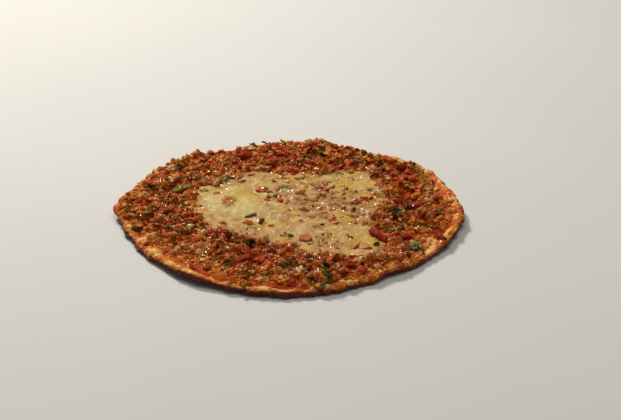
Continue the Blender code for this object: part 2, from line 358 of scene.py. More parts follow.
def rolled_layer(sectors, rows, place, marks):
    """A grid rolled round the middle into one closed layer.

    place(angle, row) gives a point and the numbers that it carries, one for each of the marks.
    The flat grid is also the map that colours are baked on: four strips, one for each quarter.
    """
    maker = bmesh.new()
    bmesh.ops.create_grid(maker, x_segments=sectors, y_segments=rows, size=0.5)
    unrolled = maker.loops.layers.uv.new("OFBake")
    # The flat grid is also a map for the colours: four strips, one for each quarter.
    for face in maker.faces:
        quarter = math.floor(4.0 * (face.calc_center_median().x + 0.5))
        for loop in face.loops:
            across = 4.0 * (loop.vert.co.x + 0.5) - quarter
            up = 0.01 + 0.98 * (loop.vert.co.y + 0.5)
            loop[unrolled].uv = (across, (quarter + up) / 4.0)
    layers = [maker.verts.layers.float.new(name) for name in marks]
    for vertex in maker.verts:
        column = round((vertex.co.x + 0.5) * sectors) % sectors
        row = round((vertex.co.y + 0.5) * rows)
        spot, numbers = place(math.tau * column / sectors, row)
        vertex.co = spot
        for layer, number in zip(layers, numbers):
            vertex[layer] = number
    bmesh.ops.remove_doubles(maker, verts=maker.verts, dist=1e-7)
    bmesh.ops.recalc_face_normals(maker, faces=maker.faces)
    return maker


def finished(name, maker, material, slot, *nodes):
    """Turns a bmesh into a smooth piece of the lahmacun that stands for these CAD nodes."""
    mesh = bpy.data.meshes.new(name)
    maker.to_mesh(mesh)
    maker.free()
    mesh.shade_smooth()
    mesh.materials.append(material)
    piece = bpy.data.objects.new(name, mesh)
    bpy.context.scene.collection.objects.link(piece)
    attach(piece, "root")
    if nodes:
        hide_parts(*nodes)
    print(name, "has", len(mesh.polygons), "faces")
    return piece


# %% [markdown]
# ## Shared finishes
# Four effects turn up in almost every finish, so each is a node group that is built once. Uneven
# colour mixes two colours in soft patches with fine grain in them. Toasting takes any colour
# through brown to black, with ragged edges. An oily film is smooth where the fat lies and dull
# between, and so decides which spots flash. Fine crumble is a bump for what is too small to
# model.

# %% Node groups
def uneven_colour_group():
    group, entry, end = new_group(
        "uneven_colour",
        [("Vector", VECTOR, (0, 0, 0)), ("Scale", FLOAT, 200.0),
         ("Light", COLOUR, (1, 1, 1, 1)), ("Dark", COLOUR, (0, 0, 0, 1))],
        [("Color", COLOUR)])
    patches = clouds(group, entry.outputs["Vector"], entry.outputs["Scale"], 4.0)
    share = stretched(group, patches, 0.32, 0.68)
    feed(group, end.inputs["Color"],
         mixed(group, share, entry.outputs["Dark"], entry.outputs["Light"]))
    return group


def toasting_group():
    group, entry, end = new_group(
        "toasting",
        [("Vector", VECTOR, (0, 0, 0)), ("Color", COLOUR, (1, 1, 1, 1)), ("Toast", FLOAT, 0.0)],
        [("Color", COLOUR)])
    ragged = clouds(group, entry.outputs["Vector"], 420.0, 5.0)
    shifted = sums(group, "ADD", entry.outputs["Toast"], sums(group, "MULTIPLY", ragged, 0.9))
    toast = sums(group, "SUBTRACT", shifted, 0.45)
    browned = mixed(group, stretched(group, toast, 0.12, 0.46),
                    entry.outputs["Color"], paint(118, 48, 16))
    burnt = mixed(group, stretched(group, toast, 0.38, 0.74), browned, paint(122, 48, 18))
    feed(group, end.inputs["Color"],
         mixed(group, stretched(group, toast, 0.74, 1.1), burnt, paint(92, 40, 24)))
    return group


def oily_film_group():
    group, entry, end = new_group(
        "oily_film",
        [("Vector", VECTOR, (0, 0, 0)), ("Scale", FLOAT, 300.0),
         ("Dry", FLOAT, 0.6), ("Wet", FLOAT, 0.15)],
        [("Roughness", FLOAT), ("Film", FLOAT)])
    pools = clouds(group, entry.outputs["Vector"], entry.outputs["Scale"], 3.0, 4.2)
    film = stretched(group, pools, 0.54, 0.64)
    blended = add(group, "ShaderNodeMix", {0: film, 2: entry.outputs["Dry"],
                                           3: entry.outputs["Wet"]}, data_type="FLOAT")
    feed(group, end.inputs["Roughness"], blended.outputs[0])
    feed(group, end.inputs["Film"], film)
    return group


def fine_crumble_group():
    group, entry, end = new_group(
        "fine_crumble",
        [("Vector", VECTOR, (0, 0, 0)), ("Scale", FLOAT, 900.0)],
        [("Height", FLOAT)])
    grain = clouds(group, entry.outputs["Vector"], entry.outputs["Scale"], 3.0, 1.7)
    cells = add(group, "ShaderNodeTexVoronoi",
                {"Vector": entry.outputs["Vector"], "Scale": entry.outputs["Scale"]})
    feed(group, end.inputs["Height"],
         sums(group, "SUBTRACT", grain, sums(group, "MULTIPLY", cells.outputs["Distance"], 0.5)))
    return group


def mince_group():
    """The colour of baked mince: orange brown, with fine red, dark, olive and pale grains."""
    group, entry, end = new_group(
        "mince",
        [("Vector", VECTOR, (0, 0, 0)), ("Tint", FLOAT, 0.5), ("Redness", FLOAT, 0.3)],
        [("Color", COLOUR)])
    where = entry.outputs["Vector"]
    number = sums(group, "MULTIPLY", entry.outputs["Tint"], 0.22)
    for scale, share, seed in ((50.0, 1.20, 0.7), (130.0, 1.15, 5.2), (520.0, 0.30, 8.4)):
        number = sums(group, "ADD", number,
                      sums(group, "MULTIPLY", clouds(group, where, scale, 3.0, seed), share))
    colour = graded(group, sums(group, "SUBTRACT", number, 0.82), (
        (0.0, paint(78, 26, 5)),
        (0.22, paint(134, 52, 9)),
        (0.42, paint(174, 78, 15)),
        (0.62, paint(200, 102, 25)),
        (0.82, paint(220, 136, 46)),
        (1.0, paint(230, 172, 88)),
    ))
    for patch, scale, seed, low, share in (
            (paint(136, 96, 12), 100.0, 3.6, 0.50, 0.58),
            (paint(180, 44, 6), 80.0, 6.8, 0.52, 0.62),
            (paint(226, 138, 52), 110.0, 9.7, 0.54, 0.62),
            (paint(84, 32, 8), 120.0, 12.5, 0.53, 0.62)):
        area = stretched(group, clouds(group, where, scale, 3.0, seed), low, low + 0.14)
        colour = mixed(group, sums(group, "MULTIPLY", area, share), colour, patch)
    reds = stretched(group, clouds(group, where, 210.0, 3.0, 2.2), 0.50, 0.66)
    colour = mixed(group, sums(group, "MULTIPLY", reds, entry.outputs["Redness"]), colour,
                   paint(178, 38, 10))
    for grain, scale, seed, low, share in (
            (paint(184, 42, 8), 400.0, 9.3, 0.62, 0.24),
            (paint(70, 30, 8), 600.0, 4.4, 0.62, 0.42),
            (paint(110, 84, 14), 400.0, 13.1, 0.62, 0.24),
            (paint(236, 176, 110), 700.0, 15.6, 0.67, 0.45)):
        spots = stretched(group, clouds(group, where, scale, 2.0, seed), low, low + 0.06)
        colour = mixed(group, sums(group, "MULTIPLY", spots, share), colour, grain)
    feed(group, end.inputs["Color"], colour)
    return group


uneven_colour = uneven_colour_group()
mince = mince_group()
toasting = toasting_group()
oily_film = oily_film_group()
fine_crumble = fine_crumble_group()


def uneven(tree, where, scale, light, dark):
    """Soft patches of two colours."""
    return add(tree, "ShaderNodeGroup", {"Vector": where, "Scale": scale, "Light": light,
                                         "Dark": dark}, node_tree=uneven_colour).outputs["Color"]


def minced(tree, where, tint, redness):
    """The colour of mince, for the sheet and for each loose crumb alike."""
    return add(tree, "ShaderNodeGroup", {"Vector": where, "Tint": tint, "Redness": redness},
               node_tree=mince).outputs["Color"]


def oiled(tree, shader, where, scale, dry, wet):
    """Gives the shader an oily film: its roughness and its clear coat follow the film."""
    film = add(tree, "ShaderNodeGroup", {"Vector": where, "Scale": scale, "Dry": dry,
                                         "Wet": wet}, node_tree=oily_film)
    feed(tree, shader.inputs["Roughness"], film.outputs["Roughness"])
    feed(tree, shader.inputs["Coat Weight"], sums(tree, "MULTIPLY", film.outputs["Film"], 0.6))
    shader.inputs["Coat Roughness"].default_value = 0.08


def crumbled(tree, shader, where, scale, strength, distance):
    """Gives the shader the fine crumble bump."""
    grain = add(tree, "ShaderNodeGroup", {"Vector": where, "Scale": scale},
                node_tree=fine_crumble)
    bumped(tree, shader, grain.outputs["Height"], strength, distance)


print("node groups:", [group.name for group in bpy.data.node_groups])

# %% [markdown]
# ## The bread
# Only the rim of the bread shows from above: a band of crumbly crust soaked with orange fat,
# with pale blisters where gas pushed the dough up, and a lower edge that the oven floor charred.
# A flat grid is rolled up round the middle, so each column is one cut through the bread: out
# along the underside, round the edge and back in under the meat. Rays from a core just inside
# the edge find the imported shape, and the relief is added along those same rays.

# %% The crust's blisters, folds and charring
# Blisters: direction and half span in degrees, how far in from the edge, half width and rise.
BLISTERS = (
    (205.4, 4.0, 6.2, 4.2, 1.5),
    (215.7, 5.0, 5.6, 4.0, 1.4),
    (229.6, 5.6, 4.2, 3.0, 1.5),
    (237.0, 4.6, 3.4, 2.8, 1.2),
    (252.0, 4.0, 4.6, 2.4, 1.0),
    (264.5, 6.0, 3.6, 2.6, 1.1),
    (283.0, 3.0, 3.2, 2.2, 1.0),
    (292.0, 3.4, 2.6, 1.8, 0.9),
    (304.8, 5.0, 3.4, 2.2, 1.1),
    (315.1, 3.4, 3.6, 2.4, 1.2),
    (326.5, 6.5, 6.0, 5.0, 1.3),
    (335.0, 5.0, 10.0, 4.5, 0.9),
    (341.2, 4.2, 5.0, 2.4, 1.5),
    (352.8, 3.4, 5.0, 2.4, 1.5),
    (7.0, 3.0, 4.4, 2.2, 1.2),
    (21.8, 4.6, 3.6, 2.4, 1.1),
    (34.0, 3.0, 3.0, 2.0, 1.0),
    (46.0, 4.0, 2.6, 2.0, 1.0),
    (57.0, 5.0, 2.2, 1.8, 0.9),
    (146.0, 4.0, 3.2, 2.2, 1.0),
    (160.0, 3.0, 3.4, 2.4, 1.0),
    (171.0, 3.4, 3.6, 2.6, 1.3),
    (178.5, 2.4, 9.0, 3.0, 1.5),
    (186.0, 3.4, 5.0, 3.2, 1.4),
    (194.0, 3.0, 4.2, 2.8, 1.2),
)
SMALL_BLISTERS = 130

# Charring of the edge: direction, half width in degrees and strength.
CHARRING = (
    (-2, 26, 0.75),
    (39, 12, 0.90),
    (116, 10, 0.80),
    (200, 10, 0.60),
    (240, 20, 0.85),
    (272, 18, 0.60),
    (312, 10, 0.25),
)
LEAST_CHARRING = 0.52

# Stretches where the sauce ran over the crust: direction and half width in degrees.
SOAKED_STRETCHES = (
    (0, 14),
    (20, 12),
    (184, 12),
    (276, 6),
    (288, 7),
    (338, 6),
    (150, 12),
)

chance = random.Random(3)
blisters = [(*entry, 0.85) for entry in BLISTERS]
for _ in range(SMALL_BLISTERS):
    blisters.append((
        chance.uniform(0, 360), chance.uniform(0.4, 1.4), chance.uniform(1.0, 6.0),
        chance.uniform(0.8, 1.8), chance.uniform(0.25, 0.7), chance.uniform(0.1, 0.7)))


def blistering(angle, inset):
    """How far blisters lift the crust here, and how pale they make it."""
    rise, pale = 0.0, 0.0
    for direction, span, middle, half_width, top, paleness in blisters:
        away = math.hypot(turn_between(angle, direction) / span,
                          (inset / MM - middle) / half_width)
        if away < 1.4:
            dome = max(0.0, 1.0 - away * away) ** 0.7
            rise = max(rise, top * MM * dome)
            pale = max(pale, paleness * smooth(1.25 - away))
    return rise, pale


def charring(angle):
    return LEAST_CHARRING + sum(
        strength * math.exp(-((turn_between(angle, direction) / half_width) ** 2))
        for direction, half_width, strength in CHARRING)


print(len(blisters), "blisters")

# %% Where the meat and the cheese end
# Stretches where the topping stops short of the edge: direction, half width and how far.
BARE_STRETCHES = (
    (205, 9, 9.0),
    (222, 9, 10.0),
    (243, 13, 12.5),
    (266, 10, 8.5),
    (300, 12, 4.5),
    (332, 10, 11.0),
    (172, 6, 5.0),
    (355, 12, 7.0),
    (22, 10, 5.0),
    (48, 8, 3.5),
    (150, 10, 2.5),
)


def meat_reach(angle):
    """The ragged edge of the meat."""
    radius = reach(meat_outline, angle)
    x, y = radius * math.cos(angle), radius * math.sin(angle)
    drawn_in = sum(amount * math.exp(-((turn_between(angle, direction) / half_width) ** 2))
                   for direction, half_width, amount in BARE_STRETCHES)
    lobes = 5.5 * waves(x, y, 0, 16 * MM, 3.3) + 3.0 * waves(x, y, 0, 6 * MM, 1.4)
    return radius + (lobes + 1.6 * waves(x, y, 0, 2.8 * MM, 8.8) - 1.0 - drawn_in) * MM


def cheese_reach(angle):
    """The ragged edge of the cheese, with melted lobes."""
    radius = reach(cheese_outline, angle)
    x, y = radius * math.cos(angle), radius * math.sin(angle)
    lobes = 5.0 * waves(x, y, 0, 20 * MM, 1.9) + 5.0 * waves(x, y, 0, 11 * MM, 5.3)
    return radius + (lobes + 2.6 * waves(x, y, 0, 4 * MM, 2.8)) * MM


print("the meat stops up to", round(max(amount for _, _, amount in BARE_STRETCHES), 1),
      "mm short of its packed edge")

# %% The bread's section
CRUST_SECTORS = 1080
CORE_INSET = 3.0 * MM
UNDER_SHARES = (0.0, 0.25, 0.45, 0.60, 0.72, 0.80, 0.86, 0.90, 0.93, 0.955, 0.978)
TURN_STEPS = 15
TOP_STEPS = 25
TOP_STEP = 0.62 * MM
INNER_SHARES = (0.7, 0.35, 0.0)
CRUST_ROWS = len(UNDER_SHARES) + TURN_STEPS + TOP_STEPS + len(INNER_SHARES)


def crust_section(angle):
    """Points and outward directions of one cut, from the middle below to the middle above."""
    along = Vector((math.cos(angle), math.sin(angle), 0.0))
    core_radius = reach(bread_outline, angle) - CORE_INSET
    core = along * core_radius
    section = []
    for share in UNDER_SHARES:
        spot = core * share
        spot.z = bottom_of(bread_tree, spot.x, spot.y) or 0.0
        section.append((spot, DOWN))
    core.z = (top_of(bread_tree, core.x, core.y) + bottom_of(bread_tree, core.x, core.y)) / 2
    for step in range(TURN_STEPS + 1):
        tilt = math.pi * (step / TURN_STEPS - 0.5)
        ray = along * math.cos(tilt) + UP * math.sin(tilt)
        section.append((bread_tree.ray_cast(core, ray)[0], ray))
    for step in range(1, TOP_STEPS + 1):
        radius = core_radius - step * TOP_STEP
        spot = along * radius
        spot.z = top_of(bread_tree, spot.x, spot.y)
        level = (top_of(meat_tree, spot.x, spot.y) or spot.z) - 0.7 * MM
        bare = smooth((radius - meat_reach(angle)) / (4 * MM) + 1.0)
        spot.z += max(0.0, level - spot.z) * bare
        section.append((spot, UP))
    for share in INNER_SHARES:
        spot = along * ((core_radius - TOP_STEPS * TOP_STEP) * share)
        spot.z = top_of(bread_tree, spot.x, spot.y)
        section.append((spot, UP))
    return section


def crust_detail(spot, ray, angle):
    """How far the crust rises along the ray here, and its marks: pale, stain and char."""
    radius = math.hypot(spot.x, spot.y)
    inset = reach(bread_outline, angle) - radius
    bare = radius - reach(meat_outline, angle)
    rise, pale = blistering(angle, inset)
    facing_up = smooth(0.5 + ray.z)
    lumps = 1.7 * MM * waves(*spot, 11 * MM, 2.3) + 1.1 * MM * waves(*spot, 5 * MM, 6.3)
    crumble = 0.50 * MM * roughness_at(*spot, 2.6 * MM, 7.7)
    pits = 0.55 * MM * smooth(waves(*spot, 3.2 * MM, 4.4) * 5.0 - 1.3)
    height = lumps + crumble + rise * facing_up - pits
    soaked = sum(math.exp(-((turn_between(angle, direction) / half_width) ** 2))
                 for direction, half_width in SOAKED_STRETCHES)
    stain = smooth(1.0 - bare / ((4.5 + 7.0 * soaked) * MM)
                   + 0.9 * roughness_at(*spot, 9 * MM, 1.1))
    low = smooth((0.72 + 0.35 * (charring(angle) - LEAST_CHARRING) - ray.z) / 1.0)
    char = 1.25 * charring(angle) * low - 0.05 + 0.26 * roughness_at(*spot, 7 * MM, 9.2)
    char += 0.45 * smooth(low * 2.5) * roughness_at(*spot, 12 * MM, 3.7)
    if ray.z > -0.98:
        return height, pale * facing_up, stain, char
    spots = smooth(roughness_at(*spot, 11 * MM, 6.6) * 1.6 + 0.15)
    near_edge = smooth(1.0 - inset / (24 * MM))
    return -abs(height) * 0.8, 0.0, 0.0, 0.18 + 0.5 * spots + 0.4 * near_edge


sections = {}


def bread_place(angle, row):
    if angle not in sections:
        sections[angle] = crust_section(angle)
    spot, ray = sections[angle][row]
    height, pale, stain, char = crust_detail(spot, ray, angle)
    if row in (0, CRUST_ROWS):
        height = 0.0
    raised = spot + ray * height
    raised.z = max(raised.z, 0.0)
    return raised, (pale, stain, char)


bread_maker = rolled_layer(CRUST_SECTORS, CRUST_ROWS, bread_place, ("pale", "stain", "char"))
crust_tree = BVHTree.FromBMesh(bread_maker)
print("the rolled bread has", len(bread_maker.faces), "faces")

# %% The crust's finish
def crust_finish():
    material, tree, shader, where = new_material("baked_crust")
    number = sums(tree, "MULTIPLY", clouds(tree, where, 800.0, 3.0, 6.1), 0.8)
    for scale, seed in ((90.0, 1.2), (260.0, 3.8)):
        number = sums(tree, "ADD", number,
                      sums(tree, "MULTIPLY", clouds(tree, where, scale, 3.0, seed), 1.25))
    colour = graded(tree, sums(tree, "SUBTRACT", number, 1.15), (
        (0.10, paint(124, 48, 8)),
        (0.32, paint(178, 82, 16)),
        (0.52, paint(206, 112, 28)),
        (0.72, paint(226, 148, 54)),
        (0.92, paint(242, 194, 108)),
    ))
    soaked = uneven(tree, where, 260.0, paint(206, 92, 20), paint(158, 42, 6))
    stain = sums(tree, "MULTIPLY", mark(tree, "stain"),
                 stretched(tree, clouds(tree, where, 240.0, 3.0), 0.32, 0.52))
    colour = mixed(tree, stain, colour, soaked)
    pale = sums(tree, "MULTIPLY", mark(tree, "pale"),
                stretched(tree, clouds(tree, where, 200.0, 3.0, 9.0), 0.36, 0.52))
    colour = mixed(tree, pale, colour, paint(246, 204, 122))
    toast = add(tree, "ShaderNodeGroup", {"Vector": where, "Color": colour,
                                          "Toast": mark(tree, "char")}, node_tree=toasting)
    feed(tree, shader.inputs["Base Color"], toast.outputs["Color"])
    oiled(tree, shader, where, 330.0, 0.68, 0.34)
    crumbled(tree, shader, where, 850.0, 0.6, 0.5 * MM)
    return material


bread = finished("baked_bread", bread_maker, crust_finish(), "crust", "bread")

# %% [markdown]
# ## The meat
# Minced meat, tomato and pepper paste are spread by hand and baked until they crumble. As a base,
# the layer is one closed sheet whose upper face is packed with crumbs of about 4 mm with
# smaller ones on them. Loose crumbs go on top of it later. Each crumb's own number and the depth
# of the gaps travel with the mesh as marks, so that the finish can colour crumb by crumb and
# darken the gaps with painted shade.

# %% The meat's crumbly sheet
MEAT_SECTORS = 860
MEAT_INNER_ROWS = 14
MEAT_FINE_ROWS = 92
MEAT_FINE_FROM = 42 * MM
MEAT_UNDER_SHARES = (0.985, 0.6, 0.0)
MEAT_ROWS = MEAT_INNER_ROWS + MEAT_FINE_ROWS + len(MEAT_UNDER_SHARES)
CRUMB_WIDTH = 5.2 * MM
SMALL_CRUMB_WIDTH = 2.0 * MM


def meat_face(x, y):
    """The height of the crumbly face, and its marks: gap depth for painted shade, and crumb
    number.
    """
    radius, angle = polar(x, y)
    dough = (top_of(crust_tree, x, y) or 0.0) + 0.15 * MM
    inside = smooth((meat_reach(angle) - radius) / (6 * MM))
    base = dough + max(0.0, (top_of(meat_tree, x, y) or 0.0) - dough) * inside
    under = smooth((cheese_reach(angle) - radius + 1 * MM) / (8 * MM))
    dome, number = crumbs_at(x, y, CRUMB_WIDTH, 0.3)
    small_dome, small_number = crumbs_at(x, y, SMALL_CRUMB_WIDTH, 5.1)
    swelling = waves(x, y, 0, 9 * MM, 6.1)
    grit = roughness_at(x, y, 0, 2.4 * MM, 3.1)
    relief = (1.1 * dome + 0.2 * small_dome + 0.45 * grit + 2.2 * swelling - 0.7) * MM
    height = relief * inside * (1 - 0.5 * under) - 0.7 * MM * under
    gap_shade = 1.0 - dome * (0.65 + 0.35 * small_dome)
    return base + height, gap_shade, 0.7 * number + 0.3 * small_number


def meat_place(angle, row):
    edge = meat_reach(angle)
    along = Vector((math.cos(angle), math.sin(angle), 0.0))
    if row <= MEAT_INNER_ROWS:
        radius = MEAT_FINE_FROM * row / MEAT_INNER_ROWS
    elif row <= MEAT_INNER_ROWS + MEAT_FINE_ROWS:
        share = (row - MEAT_INNER_ROWS) / MEAT_FINE_ROWS
        radius = MEAT_FINE_FROM + (edge - MEAT_FINE_FROM) * share
    else:
        radius = edge * MEAT_UNDER_SHARES[row - MEAT_INNER_ROWS - MEAT_FINE_ROWS - 1]
        spot = along * radius
        spot.z = (top_of(crust_tree, spot.x, spot.y) or 3 * MM) - 0.8 * MM
        # The sheet's underside carries the full painted gap shade.
        return spot, (1.0, 0.5)
    spot = along * radius
    height, gap_shade, number = meat_face(spot.x, spot.y)
    spot.z = height
    return spot, (gap_shade, number)


meat_maker = rolled_layer(MEAT_SECTORS, MEAT_ROWS, meat_place, ("gap_shade", "crumb"))
meat_surface = BVHTree.FromBMesh(meat_maker)
print("the meat's sheet has", len(meat_maker.faces), "faces")

# %% The meat's finish
def meat_finish():
    material, tree, shader, where = new_material("baked_meat")
    colour = minced(tree, where, mark(tree, "crumb"), 0.55)
    # Painted shade: the gap mark darkens the gaps between crumbs to dark brown, where shade falls.
    gap_shade = sums(tree, "MULTIPLY", stretched(tree, mark(tree, "gap_shade"), 0.40, 1.0), 0.55)
    colour = mixed(tree, gap_shade, colour, paint(76, 24, 6))
    feed(tree, shader.inputs["Base Color"], colour)
    oiled(tree, shader, where, 420.0, 0.75, 0.30)
    crumbled(tree, shader, where, 900.0, 1.0, 0.7 * MM)
    return material


meat_material = meat_finish()
meat = finished("meat_layer", meat_maker, meat_material, "meat", "meat_topping")

# %% [markdown]
# ## The cheese
# Shredded cheese melted into one thin uneven sheet. Where plenty of it lay, it is opaque and
# cream coloured. Elsewhere it is a thin film, and the meat below tints it pink and tan and pushes
# crumbs up through it. So the sheet carries a number for its cover: the height, the colour and
# the places where it sinks out of sight between crumbs all follow that number.

# %% The cheese's melted sheet
CHEESE_SECTORS = 760
CHEESE_INNER_ROWS = 8
CHEESE_FINE_ROWS = 92
CHEESE_FINE_FROM = 12 * MM
CHEESE_UNDER_SHARES = (0.985, 0.5, 0.0)
CHEESE_ROWS = CHEESE_INNER_ROWS + CHEESE_FINE_ROWS + len(CHEESE_UNDER_SHARES)

# Where more or less cheese lay: the place (x, y), the radius and how much, in millimetres.
COVER_PATCHES = (
    (-46, 12, 24, 0.50),
    (-30, -10, 22, 0.34),
    (-10, 38, 18, 0.14),
    (58, 36, 14, 0.38),
    (40, 44, 12, 0.20),
    (8, -36, 18, 0.22),
    (50, -40, 16, 0.30),
    (56, -72, 9, 0.30),
    (20, 10, 18, -0.16),
    (50, 2, 14, -0.22),
    (26, -20, 10, -0.16),
    (30, -64, 12, -0.20),
    (-58, 42, 10, -0.22),
    (12, 56, 14, -0.10),
)
BROWNED_SPOTS = (
    (-43.0, 2.5, 5.0, 0.85),
    (-42.0, 10.0, 5.2, 1.15),
    (70, 27, 4.0, 0.55),
    (22, 2, 5.0, 0.50),
    (-18, -24, 4.0, 0.50),
)


def patched(x, y, patches):
    """The sum of soft round patches at this spot."""
    total = 0.0
    for middle_x, middle_y, radius, amount in patches:
        away = math.hypot(x / MM - middle_x, y / MM - middle_y) / radius
        total += amount * math.exp(-away * away)
    return total


def cheese_cover(x, y):
    """How thickly cheese covers this spot: 0 is none and 1 is opaque."""
    radius, angle = polar(x, y)
    inside = smooth((cheese_reach(angle) - radius) / (9 * MM))
    bend = 4 * MM * waves(x, y, 0, 14 * MM, 3.9)
    plenty = patched(x, y, COVER_PATCHES)
    streaks = 0.44 * roughness_at(x + bend, y - bend, 0, 11 * MM, 2.2)
    streaks += 0.34 * waves(x - bend, 1.5 * y + bend, 0, 6 * MM, 6.2)
    cover = 0.46 + plenty + streaks * (1.0 - 0.6 * smooth(2.2 * plenty))
    return cover * inside - 0.30 * (1 - inside)


def cheese_face(x, y):
    """The height of the melted face, and its marks: cover, browning and painted crease shade."""
    base = top_of(cheese_tree, x, y)
    if base is None:
        base = (top_of(meat_tree, x, y) or 0.0) + 0.9 * MM
    cover = cheese_cover(x, y)
    thin = 1.0 - smooth(cover / 0.8)
    dome, _ = crumbs_at(x, y, CRUMB_WIDTH, 0.3)
    bend = 3 * MM * waves(x, y, 0, 8 * MM, 7.9)
    strand = abs(waves(x + bend, y * 1.15 - bend, 0, 6 * MM, 1.9))
    fine_strand = abs(waves(x - bend, y + bend, 0, 3 * MM, 3.9))
    lump = waves(x + 0.5 * bend, y - 0.5 * bend, 0, 5 * MM, 2.7)
    height = (0.62 - 0.9 * thin * thin) + 0.95 * dome * thin + (0.52 + 0.38 * thin) * lump
    height += 1.0 * waves(x, y, 0, 11 * MM, 8.1) + 0.52 * (0.3 - strand)
    height += (0.12 + 0.28 * thin) * (0.3 - fine_strand)
    height += (0.04 + 0.10 * thin) * waves(x, y, 0, 1.6 * MM, 4.7)
    # Painted shade: the crease mark lies in the low valleys between strands, most where the cheese
    # is thin.
    crease_shade = smooth((strand - 0.28) * 3.0) * (0.4 + 0.6 * smooth(fine_strand * 3.0))
    crease_shade *= 0.2 + 0.8 * thin
    brown = patched(x, y, BROWNED_SPOTS) * (1.0 + 0.7 * waves(x, y, 0, 3 * MM, 5.8))
    height += 1.5 * smooth(brown)
    return base + (height - 0.45) * MM, min(max(cover, 0.0), 1.0), brown, crease_shade


def cheese_place(angle, row):
    edge = cheese_reach(angle)
    along = Vector((math.cos(angle), math.sin(angle), 0.0))
    if row <= CHEESE_INNER_ROWS:
        radius = CHEESE_FINE_FROM * row / CHEESE_INNER_ROWS
    elif row <= CHEESE_INNER_ROWS + CHEESE_FINE_ROWS:
        share = (row - CHEESE_INNER_ROWS) / CHEESE_FINE_ROWS
        radius = CHEESE_FINE_FROM + (edge - CHEESE_FINE_FROM) * share
    else:
        radius = edge * CHEESE_UNDER_SHARES[row - CHEESE_INNER_ROWS - CHEESE_FINE_ROWS - 1]
        spot = along * radius
        spot.z = (top_of(meat_tree, spot.x, spot.y) or 5 * MM) - 2.6 * MM
        return spot, (0.0, 0.0, 0.0)
    spot = along * radius
    spot.z, *marks = cheese_face(spot.x, spot.y)
    return spot, marks


cheese_maker = rolled_layer(CHEESE_SECTORS, CHEESE_ROWS, cheese_place,
                            ("cover", "brown", "crease_shade"))
cheese_surface = BVHTree.FromBMesh(cheese_maker)
print("the cheese's sheet has", len(cheese_maker.faces), "faces")

# %% The cheese's finish
def cheese_finish():
    material, tree, shader, where = new_material("melted_cheese")
    grain = sums(tree, "MULTIPLY", clouds(tree, where, 200.0, 2.0), 0.5)
    cover = sums(tree, "SUBTRACT", sums(tree, "ADD", mark(tree, "cover"), grain), 0.25)
    colour = graded(tree, cover, (
        (0.02, paint(146, 72, 27)),
        (0.18, paint(163, 96, 48)),
        (0.34, paint(174, 117, 66)),
        (0.52, paint(182, 137, 79)),
        (0.74, paint(192, 161, 92)),
        (1.0, paint(202, 182, 113)),
    ))
    thin = sums(tree, "SUBTRACT", 1.0, stretched(tree, mark(tree, "cover"), 0.60, 0.95))
    for colour_of_patch, size, seed, low, high, share in (
            (paint(176, 98, 50), 80.0, 7.4, 0.48, 0.64, 0.66),
            (paint(186, 98, 26), 110.0, 9.1, 0.57, 0.70, 0.60),
            (paint(178, 62, 26), 160.0, 1.9, 0.62, 0.72, 0.44),
            (paint(130, 106, 40), 130.0, 2.7, 0.61, 0.73, 0.36)):
        patch = stretched(tree, clouds(tree, where, size, 2.0, seed), low, high)
        patch = sums(tree, "MULTIPLY", patch, thin)
        colour = mixed(tree, sums(tree, "MULTIPLY", patch, share), colour, colour_of_patch)
    for colour_of_patch, size, seed, low, high, share in (
            (paint(200, 158, 42), 60.0, 5.5, 0.46, 0.64, 0.70),
            (paint(192, 172, 112), 100.0, 3.1, 0.52, 0.70, 0.45)):
        patch = stretched(tree, clouds(tree, where, size, 3.0, seed), low, high)
        colour = mixed(tree, sums(tree, "MULTIPLY", patch, share), colour, colour_of_patch)
    # Painted shade: brown laid into the creases, where shade falls.
    crease_shade = stretched(tree, mark(tree, "crease_shade"), 0.15, 0.8)
    colour = mixed(tree, sums(tree, "MULTIPLY", crease_shade, 0.42), colour, paint(150, 82, 30))
    brown = sums(tree, "ADD", mark(tree, "brown"),
                 sums(tree, "MULTIPLY", clouds(tree, where, 500.0, 3.0, 8.2), 0.5))
    colour = mixed(tree, stretched(tree, brown, 0.45, 0.90), colour, paint(174, 108, 8))
    colour = mixed(tree, stretched(tree, brown, 1.10, 1.50), colour, paint(148, 58, 4))
    feed(tree, shader.inputs["Base Color"], colour)
    shader.inputs["Specular IOR Level"].default_value = 0.3
    shader.inputs["Subsurface Weight"].default_value = 0.35
    shader.inputs["Subsurface Radius"].default_value = (1.0, 0.6, 0.3)
    shader.inputs["Subsurface Scale"].default_value = 1.8 * MM
    oiled(tree, shader, where, 700.0, 0.55, 0.28)
    bumped(tree, shader, clouds(tree, where, 260.0, 2.0), 0.22, 0.6 * MM)
    return material


cheese_material = cheese_finish()
cheese = finished("melted_cheese_sheet", cheese_maker, cheese_material, "cheese", "cheese")

# %% [markdown]
# ## Loose pieces by the hundred
# Thousands of crumbs, flecks and drops lie on the layers. Each kind is one piece: a few shapes
# are modelled once, with only some dozens of faces, and then copied to every spot with its own
# size, turn and tint. Spots are thrown like darts, and one that lands too near another is thrown
# again, which spreads them evenly without a pattern. Each copy also gets its own little square
# of the piece's colour map, with its upper half on the left and its lower half on the right.

# %% Shapes for loose pieces
def shaped(maker):
    """A small mesh about 1 unit across, with its own corner of a colour map."""
    bmesh.ops.recalc_face_normals(maker, faces=maker.faces)
    bmesh.ops.triangulate(maker, faces=maker.faces)
    maker.normal_update()
    unrolled = maker.loops.layers.uv.new("OFBake")
    for face in maker.faces:
        side = 0.0 if face.normal.z >= 0.0 else 0.5
        for loop in face.loops:
            point = loop.vert.co
            loop[unrolled].uv = (side + 0.25 + 0.3 * point.x, 0.5 + 0.6 * point.y)
    mesh = bpy.data.meshes.new("shape")
    maker.to_mesh(mesh)
    maker.free()
    return mesh


